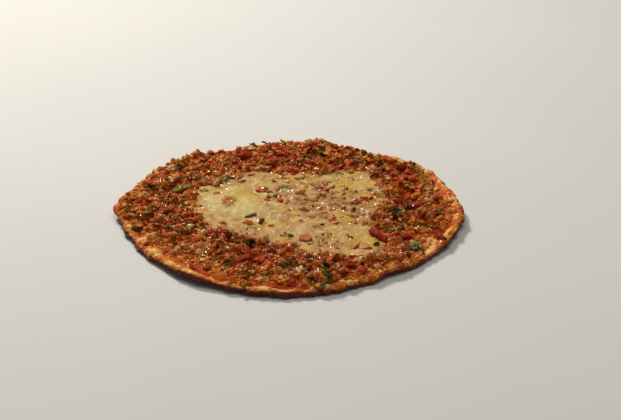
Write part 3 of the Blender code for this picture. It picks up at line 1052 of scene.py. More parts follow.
def crumb_shape(seed, unevenness=0.75, finer=2):
    """A rough crumb."""
    maker = bmesh.new()
    bmesh.ops.create_icosphere(maker, subdivisions=finer, radius=0.5)
    for vertex in maker.verts:
        spot = vertex.co * 2.4 + Vector((seed * 7.1, seed * 3.3, 0.0))
        vertex.co *= 1.0 + unevenness * noise.fractal(spot, 0.6, 2.2, 3)
    return shaped(maker)


def dice_shape(seed):
    """A small diced piece with soft edges, a bit out of square."""
    maker = bmesh.new()
    bmesh.ops.create_cube(maker, size=0.9)
    bmesh.ops.bevel(maker, geom=maker.edges[:], offset=0.17, offset_type="OFFSET", segments=1,
                    profile=0.5, affect="EDGES", material=-1)
    for vertex in maker.verts:
        spot = vertex.co * 1.5 + Vector((seed * 5.3, 0.0, seed))
        vertex.co *= 1.0 + 0.5 * noise.noise(spot)
        vertex.co.x += 0.25 * vertex.co.y
    return shaped(maker)


def leaf_shape(seed):
    """A chopped bit of leaf: a thin sheet with an uneven edge and a curl."""
    maker = bmesh.new()
    bmesh.ops.create_grid(maker, x_segments=4, y_segments=3, size=0.5)
    for vertex in maker.verts:
        x, y = vertex.co.x, vertex.co.y
        edge = 1.0 - 0.7 * (2 * x) ** 2 * abs(2 * y)
        torn = 0.24 * noise.noise(Vector((3 * x + seed * 4.1, 3 * y, 0.3)))
        curl = 0.32 * math.sin(2.6 * x + seed) + 0.26 * math.cos(4.2 * y + 2 * seed)
        vertex.co = (x + torn, (0.85 * y + torn) * edge, 0.5 * curl)
    bmesh.ops.recalc_face_normals(maker, faces=maker.faces)
    bmesh.ops.solidify(maker, geom=maker.faces[:], thickness=0.07)
    return shaped(maker)


def drop_shape(seed):
    """A flat drop of fat, domed above."""
    maker = bmesh.new()
    bmesh.ops.create_uvsphere(maker, u_segments=8, v_segments=4, radius=0.5)
    for vertex in maker.verts:
        spot = vertex.co * 1.6 + Vector((seed * 6.0, 0.0, 0.0))
        wide = 1.0 + 0.4 * noise.noise(spot)
        vertex.co.x *= wide
        vertex.co.y *= wide
        vertex.co.z *= 0.34
    return shaped(maker)


crumb_shapes = [crumb_shape(seed) for seed in range(8)]
lump_shapes = [crumb_shape(seed, 0.85, 3) for seed in range(20, 26)]
chunk_shapes = [crumb_shape(seed, 1.15, 3) for seed in range(30, 38)]
rough_shapes = [crumb_shape(seed, 1.15) for seed in range(40, 48)]
speck_shapes = [crumb_shape(seed, 1.0, 1) for seed in range(8, 14)]
dice_shapes = [dice_shape(seed) for seed in range(6)]
leaf_shapes = [leaf_shape(seed) for seed in range(8)]
drop_shapes = [drop_shape(seed) for seed in range(5)]
print("faces of a crumb, a speck, a dice, a leaf and a drop:",
      [len(shapes[0].polygons) for shapes in
       (crumb_shapes, speck_shapes, dice_shapes, leaf_shapes, drop_shapes)])

# %% Where loose pieces lie
LAYERS = ("bread", "meat_topping", "cheese")
TOPPINGS = sorted(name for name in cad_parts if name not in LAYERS)
topping_boxes = {name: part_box(name) for name in TOPPINGS}


surfaces = [crust_tree, meat_surface, cheese_surface]


def surface_at(x, y):
    """The highest baked surface at this spot, and the direction that it faces."""
    best = None
    for tree in surfaces:
        hit, normal = tree.ray_cast(Vector((x, y, DROP_HEIGHT)), DOWN)[:2]
        if hit is not None and (best is None or hit.z > best[0].z):
            best = (hit, normal)
    return best


def laid_on(piece):
    """Later pieces may lie on this one too."""
    corners = [vertex.co for vertex in piece.data.vertices]
    faces = [face.vertices for face in piece.data.polygons]
    surfaces.append(BVHTree.FromPolygons(corners, faces))


def near_topping(x, y, margin):
    """True if a large topping lies at this spot or within the margin of it."""
    return any(low.x - margin < x < high.x + margin and low.y - margin < y < high.y + margin
               for low, high in topping_boxes.values())


def on_meat(x, y):
    """The chance of a loose crumb here: sure on bare meat, less at its edge and on cheese."""
    radius, angle = polar(x, y)
    chance_here = smooth((meat_reach(angle) - radius) / (2.0 * MM))
    if radius < cheese_reach(angle) + 4 * MM:
        chance_here *= 1.0 - smooth(cheese_cover(x, y) * 4.0 + 0.45)
    return 0.0 if near_topping(x, y, 0.8 * MM) else chance_here


def on_thin_cheese(x, y):
    """The chance of a cheese-coated crumb here: only where the cheese is thin."""
    radius, angle = polar(x, y)
    if radius > cheese_reach(angle) or near_topping(x, y, 0.0):
        return 0.0
    cover = cheese_cover(x, y)
    return smooth((0.62 - cover) * 3.0) * smooth(cover * 5.0 + 0.4)


def on_rim(x, y):
    """The chance of a crust crumb here: on the bare band round the meat."""
    radius, angle = polar(x, y)
    bare = radius - meat_reach(angle)
    inset = reach(bread_outline, angle) - radius
    if bare < -1.5 * MM or inset < 1.5 * MM:
        return 0.0
    lower_left = 0.5 - 0.5 * math.sin(angle + math.radians(30))
    return (0.15 + 0.85 * lower_left) * smooth(1.3 - bare / (9 * MM))


def scattered(count, spacing, chance_at, seed):
    """Spots spread over the bread, at least about the spacing apart."""
    dice = random.Random(seed)
    taken = set()
    spots = []
    for _ in range(count * 60):
        x, y = dice.uniform(-0.128, 0.128), dice.uniform(-0.125, 0.125)
        cell = (round(x / spacing), round(y / spacing))
        if cell in taken or dice.random() > chance_at(x, y) or surface_at(x, y) is None:
            continue
        taken.add(cell)
        spots.append((x, y))
        if len(spots) == count:
            break
    return spots


def tumbled(x, y, size, sink, dice, flat=0.75):
    """A place for a crumb: turned any way, uneven in size, and partly sunk in."""
    hit, _ = surface_at(x, y)
    sizes = [size * dice.uniform(0.78, 1.22) for _ in range(2)] + [size * flat]
    turn = Euler([dice.uniform(0, math.tau) for _ in range(3)])
    spot = hit + UP * size * (0.5 - sink) * flat
    return (Matrix.Translation(spot) @ Matrix.Diagonal((1, 1, flat + 0.1, 1))
            @ turn.to_matrix().to_4x4() @ Matrix.Diagonal((*sizes, 1)))


def flat_laid(x, y, sizes, lift, tilt, dice, turn=None, level=0.4, leaning=(0.0, 0.0)):
    """A place for a flat piece: it lies along the surface, with a random tilt."""
    hit, normal = surface_at(x, y)
    lean = normal + Vector((leaning[0] + dice.uniform(-tilt, tilt),
                            leaning[1] + dice.uniform(-tilt, tilt), level))
    facing = UP.rotation_difference(lean.normalized()).to_matrix().to_4x4()
    spin = Matrix.Rotation(dice.uniform(0, math.tau) if turn is None else turn, 4, "Z")
    return (Matrix.Translation(hit + UP * lift) @ facing @ spin
            @ Matrix.Diagonal((*sizes, 1)))


heaped = []


def heap(name, copies, material, slot):
    """Joins copies of a few shapes into one piece. A copy is a shape, its place and its tint."""
    maker = bmesh.new()
    tints, corners = [], []
    for shape, place, tint in copies:
        copy = shape.copy()
        copy.transform(place)
        maker.from_mesh(copy, face_normals=False, vertex_normals=False)
        bpy.data.meshes.remove(copy)
        tints += [tint] * len(shape.vertices)
        corners.append(len(shape.loops))
    for vertex in maker.verts:
        vertex.co.z = max(vertex.co.z, 0.0)
    piece = finished(name, maker, material, slot)
    mesh = piece.data
    mesh.attributes.new("tint", "FLOAT", "POINT").data.foreach_set("value", tints)
    side = math.ceil(math.sqrt(len(copies)))
    number = np.repeat(np.arange(len(copies)), corners)
    squares = np.stack([number % side, number // side], axis=1)
    corner_places = np.empty(len(mesh.loops) * 2, np.float32)
    mesh.uv_layers["OFBake"].uv.foreach_get("vector", corner_places)
    corner_places = (corner_places.reshape(-1, 2) * 0.9 + 0.05 + squares) / side
    mesh.uv_layers["OFBake"].uv.foreach_set("vector", corner_places.ravel().astype(np.float32))
    heaped.append(len(mesh.polygons))
    print(name, "has", len(copies), "copies,", heaped[-1], "faces, all heaps", sum(heaped))
    return piece


print("loose pieces keep clear of", len(TOPPINGS), "large toppings")

# %% [markdown]
# ## Crumbs of meat
# Three kinds of crumb make the topping look like mince: brown ones, which are the most, redder
# ones soaked with tomato and pepper paste, and golden ones of fat and onion. They are 2 to 5 mm
# across and lie half sunk in the sheet below.

# %% Loose crumbs of meat
def crumb_finish(name, redness, low, high):
    """A finish for crumbs: mince whose tint runs from low to high, crumb by crumb."""
    material, tree, shader, where = new_material(name)
    tint = sums(tree, "ADD", sums(tree, "MULTIPLY", mark(tree, "tint"), high - low), low)
    feed(tree, shader.inputs["Base Color"], minced(tree, where, tint, redness))
    oiled(tree, shader, where, 520.0, 0.75, 0.30)
    crumbled(tree, shader, where, 900.0, 1.0, 0.7 * MM)
    return material


def crumb_copies(count, spacing, low, high, sink, chance_at, seed, shapes):
    """Copies of crumbs from low to high in size, most of them small."""
    dice = random.Random(seed)
    copies = []
    for x, y in scattered(count, spacing, chance_at, seed + 1):
        size = low + (high - low) * dice.random() ** 1.8
        place = tumbled(x, y, size, sink, dice)
        copies.append((dice.choice(shapes), place, dice.random()))
    return copies


lumps = heap("meat_lumps",
             crumb_copies(600, 4.4 * MM, 5.2 * MM, 10.5 * MM, 0.70, on_meat, 17, lump_shapes),
             crumb_finish("meat_lump", 0.4, 0.15, 0.95), "meat")
laid_on(lumps)
crumb_kinds = (
    ("brown", 420, 3.6, 6.8, 0.40, 0.15, 0.80, 11),
    ("red", 240, 4.0, 6.4, 0.85, 0.15, 0.70, 21),
    ("golden", 180, 4.2, 6.6, 0.15, 0.45, 1.00, 31),
)
for kind, count, spacing, largest, redness, lightest, darkest, seed in crumb_kinds:
    crumbs = heap("meat_crumbs_" + kind,
                  crumb_copies(count, spacing * MM, 2.4 * MM, largest * MM, 0.78, on_meat, seed,
                               rough_shapes),
                  crumb_finish(kind + "_crumb", redness, lightest, darkest), "meat")
    laid_on(crumbs)
print("loose crumbs of meat:", 600 + sum(kind[1] for kind in crumb_kinds))

# %% [markdown]
# ## Vegetables and herbs, finely chopped
# Between the crumbs lie bits of tomato and red pepper, onion that turned glassy, golden fat,
# green pepper and a great deal of chopped parsley, dark from the oven. Bits that stand out have
# their own entry in a list: the place (x, y), then length, width and height, all in millimetres,
# the turn in degrees and the tint. The rest are scattered.

# %% Bits that stand out
RED_BITS = (
    (27.0, 25.5, 6.5, 3.6, 2.4, -25, 0.5),
    (23.5, 28.0, 4.0, 3.0, 2.4, 20, 0.3),
    (41.0, 26.0, 4.2, 3.2, 2.2, 0, 0.5),
    (58.0, 9.0, 6.4, 3.2, 2.6, 35, 0.4),
    (31.0, -22.0, 6.0, 4.0, 2.2, 12, 0.7),
    (34.0, -28.5, 3.6, 3.2, 2.2, 0, 0.7),
    (46.8, -64.5, 3.6, 4.2, 2.6, 0, 0.4),
    (56.0, -67.5, 12.0, 3.2, 1.8, 8, 0.5),
    (47.0, -77.0, 9.0, 3.4, 2.0, 20, 0.4),
    (-45.0, -41.0, 9.0, 5.0, 2.2, 20, 0.3),
    (-54.0, -46.0, 6.0, 4.0, 2.2, -10, 0.2),
    (-97.0, -53.5, 6.0, 5.0, 2.4, 20, 0.2),
    (-92.0, -36.0, 5.0, 3.6, 2.4, 10, 0.1),
    (3.4, -109.3, 5.0, 4.4, 2.4, 0, 0.3),
    (78.0, 4.0, 5.0, 3.0, 2.0, 0, 0.2),
    (105.3, -46.5, 8.0, 5.5, 3.0, -12, 0.1),
    (-9.5, 96.0, 8.0, 4.4, 2.4, 8, 0.3),
    (36.0, 92.0, 7.0, 4.0, 2.4, -12, 0.3),
    (-36.0, -100.0, 6.0, 4.0, 2.4, 24, 0.6),
    (-60.0, -88.0, 7.0, 4.0, 2.2, 15, 0.6),
)
GOLDEN_BITS = (
    (-91.2, 48.6, 6.4, 4.6, 3.2, 30, 0.4),
    (-1.8, -108.6, 7.0, 4.6, 2.6, 0, 0.7),
    (21.1, 105.0, 9.0, 6.6, 5.0, 25, 0.5),
    (31.2, 59.1, 6.4, 5.4, 4.4, 10, 0.3),
    (-33.8, 41.7, 4.8, 4.4, 3.2, 0, 0.5),
    (74.5, 15.5, 6.6, 5.6, 3.0, 0, 0.6),
    (63.0, -17.0, 5.4, 3.6, 2.2, 0, 0.7),
    (46.0, -26.0, 5.4, 3.6, 2.2, 0, 0.6),
    (-25.0, 60.0, 4.6, 4.6, 2.8, 0, 0.4),
    (-66.0, 40.0, 6.4, 5.6, 3.2, 20, 0.5),
    (-66.5, 33.0, 5.4, 5.0, 3.0, 20, 0.3),
    (-25.9, -27.2, 7.4, 5.4, 2.8, 0, 0.2),
    (-15.0, 11.0, 4.6, 3.2, 1.8, 0, 0.4),
    (-50.0, 21.0, 6.0, 3.6, 1.6, 10, 0.4),
    (9.0, -70.0, 5.0, 4.0, 3.0, 0, 0.6),
    (12.0, 88.0, 7.0, 5.0, 4.0, 40, 0.4),
    (60.0, 74.0, 6.0, 4.6, 3.0, 0, 0.5),
    (36.0, 78.0, 6.0, 5.0, 3.6, 60, 0.6),
)
PALE_BITS = (
    (-84.4, 34.8, 3.8, 3.2, 3.0, 0, 0.9),
    (-87.5, 59.1, 8.0, 5.4, 3.2, 20, 0.5),
    (9.9, -98.2, 5.8, 4.6, 3.2, 15, 1.0),
    (-29.0, 100.8, 7.6, 4.4, 3.4, 0, 0.8),
    (24.9, 113.9, 4.2, 3.4, 4.4, 0, 1.0),
    (-57.9, 41.7, 8.0, 6.6, 3.8, 30, 0.7),
    (62.6, 48.6, 8.8, 6.6, 2.8, 15, 0.5),
    (72.0, 45.0, 5.4, 4.4, 3.4, 15, 0.6),
    (45.0, 45.0, 6.0, 4.0, 2.4, 0, 0.6),
    (-74.0, -65.0, 6.0, 4.4, 2.6, 0, 0.5),
)
GREEN_BITS = (
    (17.6, 103.0, 12.0, 2.6, 2.2, -72, 0.6),
    (20.2, 93.5, 4.0, 3.0, 2.6, -60, 1.0),
    (-49.0, 41.0, 10.0, 5.4, 2.6, 5, 0.45),
    (-2.3, 31.4, 10.5, 4.4, 2.0, -6, 0.4),
    (-11.5, 15.5, 8.0, 4.6, 1.6, -8, 0.6),
    (-61.0, 24.0, 6.0, 3.4, 2.4, 30, 0.7),
    (74.0, -38.0, 7.0, 2.6, 2.0, 10, 0.7),
    (96.0, 62.0, 9.0, 2.2, 1.8, 50, 0.6),
    (-82.0, -44.0, 6.0, 2.6, 2.0, 40, 0.5),
    (-40.0, -92.0, 7.0, 2.6, 2.0, 50, 0.6),
)
LEAVES = (
    (75.3, -6.6, 8.4, 6.0, 4.0, 10, 0.1),
    (74.9, -24.0, 7.4, 6.6, 4.0, 60, 0.1),
    (85.1, -1.7, 6.4, 5.0, 4.0, 20, 0.1),
    (104.9, -11.4, 5.6, 7.4, 4.0, 0, 0.1),
    (51.7, 80.5, 6.4, 5.4, 4.0, 0, 0.3),
    (54.3, 97.0, 6.4, 5.0, 4.0, 30, 0.2),
    (56.3, 86.0, 5.4, 5.0, 4.0, 60, 0.3),
    (64.9, 71.5, 5.4, 4.4, 4.0, 10, 0.8),
    (13.5, 89.7, 7.0, 6.0, 4.0, 10, 0.1),
    (25.5, 84.2, 5.0, 4.4, 4.0, 0, 0.4),
    (-99.8, 28.0, 7.6, 6.0, 4.0, 20, 0.2),
    (-80.3, 60.8, 6.4, 6.0, 4.0, 40, 0.6),
    (-102.6, -31.1, 9.0, 5.0, 4.0, 0, 0.4),
    (-46.9, 41.7, 5.4, 4.4, 2.4, 0, 0.5),
    (-28.3, -115.0, 5.4, 5.0, 4.0, 0, 0.5),
    (24.2, -114.6, 7.4, 5.4, 4.0, 15, 0.5),
    (26.9, -106.9, 6.4, 5.4, 4.0, 80, 0.5),
    (-0.7, -92.5, 6.4, 4.4, 4.0, 0, 0.3),
    (-26.2, -15.8, 7.0, 6.0, 3.0, 10, 0.55),
    (-18.6, -25.6, 4.6, 5.4, 3.0, 60, 0.45),
    (-40.0, -49.0, 5.4, 6.0, 4.0, 30, 0.1),
    (-25.0, -60.0, 7.4, 5.4, 4.0, 60, 0.3),
    (3.0, -46.0, 4.4, 4.0, 3.0, 0, 0.5),
    (-108.0, 66.0, 4.0, 4.0, 4.0, 0, 0.5),
    (-12.0, -103.0, 6.4, 5.4, 4.0, 0, 0.5),
    (47.0, -6.5, 3.6, 3.0, 3.0, 0, 0.5),
    (60.0, -60.0, 5.0, 3.4, 3.0, 0, 0.3),
)
BURNT_BITS = (
    (-107.0, 7.5, 11.0, 1.8, 2.6, -28, 0.5),
    (-99.5, 2.6, 8.0, 1.5, 2.2, -28, 0.3),
    (23.4, 119.5, 4.4, 3.0, 2.6, 0, 0.1),
    (28.3, 61.0, 8.0, 3.0, 3.6, 60, 0.5),
    (26.4, -92.5, 4.0, 3.4, 2.8, 0, 0.0),
    (92.7, -65.1, 2.0, 2.0, 1.6, 0, 0.0),
    (-12.5, 24.0, 5.0, 2.6, 1.4, 20, 0.8),
    (24.0, -30.0, 2.4, 2.0, 1.6, 0, 0.1),
    (-28.0, 96.5, 5.0, 3.0, 2.0, 0, 0.1),
)


def named_copies(entries, shapes, sink, seed, level=2.2):
    """One copy for each entry, laid at its place with its own size, turn and tint."""
    dice = random.Random(seed)
    copies = []
    for x, y, length, width, height, turn, tint in entries:
        if surface_at(x * MM, y * MM) is None:
            print("no surface under the bit at", x, y)
            continue
        height *= 1.25
        sizes = (length * MM, width * MM, height * MM)
        melted_in = 0.16 * smooth(2.0 * cheese_cover(x * MM, y * MM))
        lift = (0.5 - sink - melted_in) * height * MM
        place = flat_laid(x * MM, y * MM, sizes, lift, 0.3, dice, math.radians(turn), level)
        copies.append((dice.choice(shapes), place, tint))
    return copies


def bit_copies(count, spacing, low, high, flat, sink, tilt, chance_at, seed, shapes, level=0.4,
               leaning=(0.0, 0.0)):
    """Scattered bits that lie along the surface."""
    dice = random.Random(seed)
    copies = []
    for x, y in scattered(count, spacing, chance_at, seed + 1):
        size = low + (high - low) * dice.random() ** 1.5
        sizes = (size, size * dice.uniform(0.5, 0.95), size * flat)
        place = flat_laid(x, y, sizes, (0.5 - sink) * size * flat, tilt, dice, None, level,
                          leaning)
        copies.append((dice.choice(shapes), place, dice.random()))
    return copies


print(sum(map(len, (RED_BITS, GOLDEN_BITS, PALE_BITS, GREEN_BITS, LEAVES, BURNT_BITS))),
      "bits have a place of their own")

# %% Where the chopped bits fall
def on_topping(x, y):
    """The chance of a chopped bit: on meat, and now and then on cheese."""
    radius, angle = polar(x, y)
    if radius > meat_reach(angle) + 0.5 * MM or near_topping(x, y, 0.0):
        return 0.0
    if radius < cheese_reach(angle):
        return 0.05 * smooth((0.50 - cheese_cover(x, y)) * 2.5)
    return 1.0


def on_cheese(x, y):
    radius, angle = polar(x, y)
    return float(radius < cheese_reach(angle) - 1 * MM and not near_topping(x, y, 0.0))


def on_buttery_cheese(x, y):
    """On the cheese, and most of all where it is thin."""
    return on_cheese(x, y) * (0.5 + 0.5 * smooth((0.9 - cheese_cover(x, y)) * 2.5))


def on_fatty_meat(x, y):
    """On the meat, and most of all at the front and the left, where the fat ran to."""
    return on_topping(x, y) * (0.2 + 0.8 * smooth(0.5 - (x + y) / (120 * MM)))


def on_edge_or_meat(x, y):
    """On the meat, and thinly on the bare crust next to it."""
    radius, angle = polar(x, y)
    bare = radius - meat_reach(angle)
    if bare > 0:
        return 0.35 * smooth(1.0 - bare / (6 * MM))
    return on_topping(x, y)


# Where more herbs fell: the place (x, y), the radius and how many more.
HERB_PATCHES = (
    (-82, -30, 16, 0.9),
    (-95, -8, 12, 0.5),
    (-30, -52, 18, 0.6),
    (10, -98, 18, 0.6),
    (25, 90, 22, 0.5),
    (82, -15, 18, 0.7),
    (-76, 25, 12, 0.5),
    (60, 76, 14, 0.5),
)


def on_herbs(x, y):
    return on_edge_or_meat(x, y) * (0.4 + patched(x, y, HERB_PATCHES))


# %% Bits, leaves and drops
TUFT_BITS = 4


def leaf_clusters(entries, seed):
    """Each leaf that stands out is a small tuft of curled bits."""
    dice = random.Random(seed)
    bits = []
    for x, y, length, width, height, turn, tint in entries:
        for _ in range(TUFT_BITS):
            size = dice.uniform(0.60, 0.90)
            bits.append((x + dice.uniform(-0.3, 0.3) * length, y + dice.uniform(-0.3, 0.3) * width,
                         length * size, width * size, height * size,
                         turn + dice.uniform(-50, 50), min(1.0, tint + dice.uniform(0.0, 0.2))))
    return bits


def bit_finish(name, stops, roughness, coat, grain=600.0, bump=0.6, stained=0.6):
    """A finish for chopped bits: soft flesh with its own tint and a little unevenness."""
    material, tree, shader, where = new_material(name)
    number = sums(tree, "ADD", mark(tree, "tint"),
                  sums(tree, "MULTIPLY", clouds(tree, where, grain, 3.0), 0.5))
    colour = graded(tree, sums(tree, "SUBTRACT", number, 0.25), stops)
    sauce = stretched(tree, clouds(tree, where, 320.0, 3.0, 6.6), 0.48, 0.66)
    colour = mixed(tree, sums(tree, "MULTIPLY", sauce, stained), colour, paint(140, 58, 14))
    feed(tree, shader.inputs["Base Color"], colour)
    shader.inputs["Roughness"].default_value = roughness
    shader.inputs["Coat Weight"].default_value = coat
    shader.inputs["Coat Roughness"].default_value = 0.1
    bumped(tree, shader, clouds(tree, where, grain * 1.6, 2.0), bump, 0.3 * MM)
    return material


red_stops = ((0.0, paint(142, 18, 4)), (0.5, paint(186, 40, 6)), (1.0, paint(210, 84, 26)))
golden_stops = ((0.0, paint(168, 62, 14)), (0.5, paint(204, 106, 30)), (1.0, paint(224, 156, 66)))
pale_stops = ((0.0, paint(172, 108, 58)), (0.5, paint(198, 140, 84)), (0.85, paint(220, 176, 120)),
              (1.0, paint(240, 214, 160)))
green_stops = ((0.0, paint(84, 84, 40)), (0.5, paint(126, 118, 36)), (1.0, paint(196, 180, 84)))
leaf_stops = ((0.0, paint(22, 20, 4)), (0.3, paint(42, 42, 6)), (0.55, paint(68, 72, 12)),
              (0.8, paint(96, 102, 26)), (1.0, paint(124, 132, 52)))
burnt_stops = ((0.0, paint(16, 12, 12)), (1.0, paint(70, 40, 26)))

tomato_bits = heap(
    "tomato_and_pepper_bits",
    named_copies(RED_BITS, chunk_shapes, 0.55, 41)
    + bit_copies(220, 4.2 * MM, 2.4 * MM, 6.4 * MM, 0.50, 0.42, 0.4, on_edge_or_meat, 43,
                 crumb_shapes + dice_shapes),
    bit_finish("chopped_tomato", red_stops, 0.6, 0.1, bump=1.0, stained=0.5), "tomato")
golden_bits = heap(
    "golden_fat_bits",
    named_copies(GOLDEN_BITS, chunk_shapes, 0.5, 51)
    + bit_copies(160, 5.2 * MM, 2.6 * MM, 6.4 * MM, 0.55, 0.44, 0.4, on_topping, 53,
                 crumb_shapes),
    bit_finish("golden_fat", golden_stops, 0.6, 0.1, bump=1.0), "onion")
onion_bits = heap(
    "onion_bits",
    named_copies(PALE_BITS, chunk_shapes, 0.5, 61)
    + bit_copies(100, 6.0 * MM, 1.8 * MM, 4.6 * MM, 0.5, 0.40, 0.4, on_topping, 63,
                 dice_shapes),
    bit_finish("soft_onion", pale_stops, 0.5, 0.2), "onion")
green_bits = heap(
    "green_pepper_bits",
    named_copies(GREEN_BITS, chunk_shapes, 0.5, 71)
    + bit_copies(90, 6.0 * MM, 2.0 * MM, 5.0 * MM, 0.5, 0.36, 0.4, on_topping, 73,
                 dice_shapes),
    bit_finish("chopped_green_pepper", green_stops, 0.5, 0.2), "green_pepper")
parsley = heap(
    "parsley_bits",
    named_copies(leaf_clusters(LEAVES, 80), leaf_shapes, 0.1, 81, 0.8)
    + bit_copies(640, 2.8 * MM, 1.6 * MM, 4.4 * MM, 0.6, 0.30, 0.6, on_herbs, 83,
                 leaf_shapes),
    bit_finish("baked_parsley", leaf_stops, 0.8, 0.0), "parsley")
burnt_bits = heap(
    "burnt_bits",
    named_copies(BURNT_BITS, chunk_shapes, 0.4, 91)
    + bit_copies(200, 3.4 * MM, 0.8 * MM, 2.0 * MM, 0.7, 0.40, 0.4, on_edge_or_meat, 93,
                 speck_shapes),
    bit_finish("burnt_crumb", burnt_stops, 0.6, 0.0), "char")

# %% [markdown]
# ## Fat that glistens
# Melted fat and butter from the cheese stand in flat drops between the crumbs. Each drop is a
# low dome: its top is nearly flat, so one that tilts the right way mirrors the window. Most lean
# a little to the front left, which is the way that catches the light.

# %% Drops of fat
def fat_finish(name, stops):
    material, tree, shader, where = new_material(name)
    number = sums(tree, "ADD", mark(tree, "tint"), 0.0)
    feed(tree, shader.inputs["Base Color"], graded(tree, number, stops))
    shader.inputs["Roughness"].default_value = 0.12
    shader.inputs["Specular IOR Level"].default_value = 0.9
    shader.inputs["IOR"].default_value = 1.7
    return material


DROP_LEVEL = 2.5
DROP_LEANING = (-1.14, -0.95)
fat_on_meat = heap(
    "fat_drops_on_meat",
    bit_copies(1700, 1.8 * MM, 0.9 * MM, 1.7 * MM, 0.24, 0.3, 0.75, on_fatty_meat, 103,
               drop_shapes, DROP_LEVEL, DROP_LEANING),
    fat_finish("melted_fat", ((0.0, paint(120, 56, 20)), (1.0, paint(170, 92, 40)))), "meat")
fat_on_cheese = heap(
    "butter_drops_on_cheese",
    bit_copies(1150, 1.4 * MM, 0.8 * MM, 1.5 * MM, 0.24, 0.3, 1.0, on_buttery_cheese, 113,
               drop_shapes, DROP_LEVEL, DROP_LEANING),
    fat_finish("melted_butter", ((0.0, paint(190, 140, 88)), (1.0, paint(216, 188, 128)))),
    "cheese")
crust_stops = ((0.0, paint(120, 48, 12)), (0.35, paint(178, 90, 26)), (0.7, paint(214, 136, 54)),
               (1.0, paint(236, 184, 104)))
crust_crumbs = heap(
    "crust_crumbs",
    bit_copies(1500, 1.2 * MM, 0.7 * MM, 2.2 * MM, 0.8, 0.55, 0.4, on_rim, 123, speck_shapes)
    + bit_copies(420, 2.8 * MM, 1.8 * MM, 6.0 * MM, 0.6, 0.62, 0.4, on_rim, 127, rough_shapes),
    bit_finish("crust_crumb", crust_stops, 0.75, 0.0), "crust")

# %% [markdown]
# ## Grains and coated crumbs
# Two kinds bind the layers together. Fine grains of a millimetre lie on everything. And crumbs
# that poke through the melted cheese keep a thin coat of it, so they look pink and tan.

# %% Grains and coated crumbs
grain_stops = ((0.0, paint(92, 30, 6)), (0.3, paint(150, 50, 10)), (0.6, paint(182, 88, 22)),
               (1.0, paint(212, 136, 56)))
fine_grains = heap(
    "fine_meat_grains",
    bit_copies(450, 2.2 * MM, 0.8 * MM, 1.8 * MM, 0.9, 0.50, 0.8, on_edge_or_meat, 133,
               speck_shapes),
    bit_finish("meat_grain", grain_stops, 0.7, 0.15), "meat")
coated_stops = ((0.0, paint(170, 100, 50)), (0.4, paint(180, 118, 64)), (0.7, paint(188, 138, 77)),
                (1.0, paint(194, 160, 92)))
coated_crumbs = heap(
    "cheese_coated_crumbs",
    crumb_copies(200, 5.0 * MM, 3.0 * MM, 7.4 * MM, 0.82, on_thin_cheese, 141, lump_shapes),
    bit_finish("cheese_coated_crumb", coated_stops, 0.35, 0.2, stained=0.2), "cheese")

# %% [markdown]
# ## The large toppings
# Pieces of pepper, tomato and onion as large as a berry have nodes of their own in the packed
# model. A merged copy of each is divided finely, smoothed and roughened, which keeps its size
# and place. It then sinks a little into the crumbs, since a baked topping never lies on top of
# the meat like a dropped coin.

# %% Softened toppings
DENT_WIDTH = 4.6 * MM


def softened(node, cuts, wrinkle, wrinkle_size, slot, material, sink):
    """A finer, softer and unevenly wrinkled form of a topping's CAD node."""
    maker = merged_copy(node)
    bmesh.ops.subdivide_edges(maker, edges=maker.edges[:], cuts=cuts, use_grid_fill=True)
    for _ in range(2):
        bmesh.ops.smooth_vert(maker, verts=maker.verts, factor=0.5, use_axis_x=True,
                              use_axis_y=True, use_axis_z=True)
    maker.normal_update()
    low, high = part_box(node)
    skin = maker.verts.layers.float.new("skin")
    moved = []
    for vertex in maker.verts:
        lean = roughness_at(*vertex.co, wrinkle_size, 4.0 + 50 * low.x)
        lean += 1.5 * waves(*vertex.co, DENT_WIDTH, 7.0 + 50 * low.x)
        vertex[skin] = smooth(0.5 + 1.4 * vertex.normal.z + 0.5 * lean)
        moved.append(vertex.co + vertex.normal * wrinkle * lean - UP * sink)
    for vertex, spot in zip(maker.verts, moved):
        vertex.co = spot
    return finished(node + "_piece", maker, material, slot, node)


def skinned_finish(name, skin, skin_dark, flesh, roughness=0.4, over=(146, 62, 16)):
    """Skin above and softer flesh at the cut sides, with patches of what melted over it."""
    material, tree, shader, where = new_material(name)
    skin_colour = uneven(tree, where, 420.0, skin, skin_dark)
    flesh_colour = uneven(tree, where, 700.0, flesh, skin)
    colour = mixed(tree, mark(tree, "skin"), flesh_colour, skin_colour)
    sauce = stretched(tree, clouds(tree, where, 240.0, 4.0, 6.6), 0.47, 0.57)
    colour = mixed(tree, sums(tree, "MULTIPLY", sauce, 0.8), colour, paint(*over))
    feed(tree, shader.inputs["Base Color"], colour)
    oiled(tree, shader, where, 380.0, roughness + 0.25, roughness - 0.1)
    bumped(tree, shader, clouds(tree, where, 600.0, 3.0), 0.8, 0.6 * MM)
    return material


red_skin = skinned_finish("red_pepper_skin", paint(178, 22, 3), paint(108, 8, 2),
                          paint(204, 70, 28))
light_red_skin = skinned_finish("light_red_pepper_skin", paint(216, 76, 36),
                                paint(184, 42, 12), paint(224, 116, 66))
dark_red_skin = skinned_finish("baked_red_pepper_skin", paint(164, 32, 6),
                               paint(108, 16, 3), paint(190, 70, 24))
green_skin = skinned_finish("green_pepper_skin", paint(132, 128, 26), paint(88, 92, 20),
                            paint(166, 156, 60))
pale_skin = skinned_finish("pale_pepper_skin", paint(206, 186, 108), paint(168, 150, 70),
                           paint(226, 210, 150))
tomato_skin = skinned_finish("tomato_flesh", paint(184, 74, 34), paint(146, 36, 14),
                             paint(206, 110, 60))
orange_skin = skinned_finish("tomato_on_cheese_flesh", paint(206, 84, 34), paint(178, 50, 20),
                             paint(216, 130, 70), over=(190, 132, 76))
onion_skin = skinned_finish("onion_flesh", paint(196, 146, 96), paint(168, 112, 66),
                            paint(220, 184, 136))
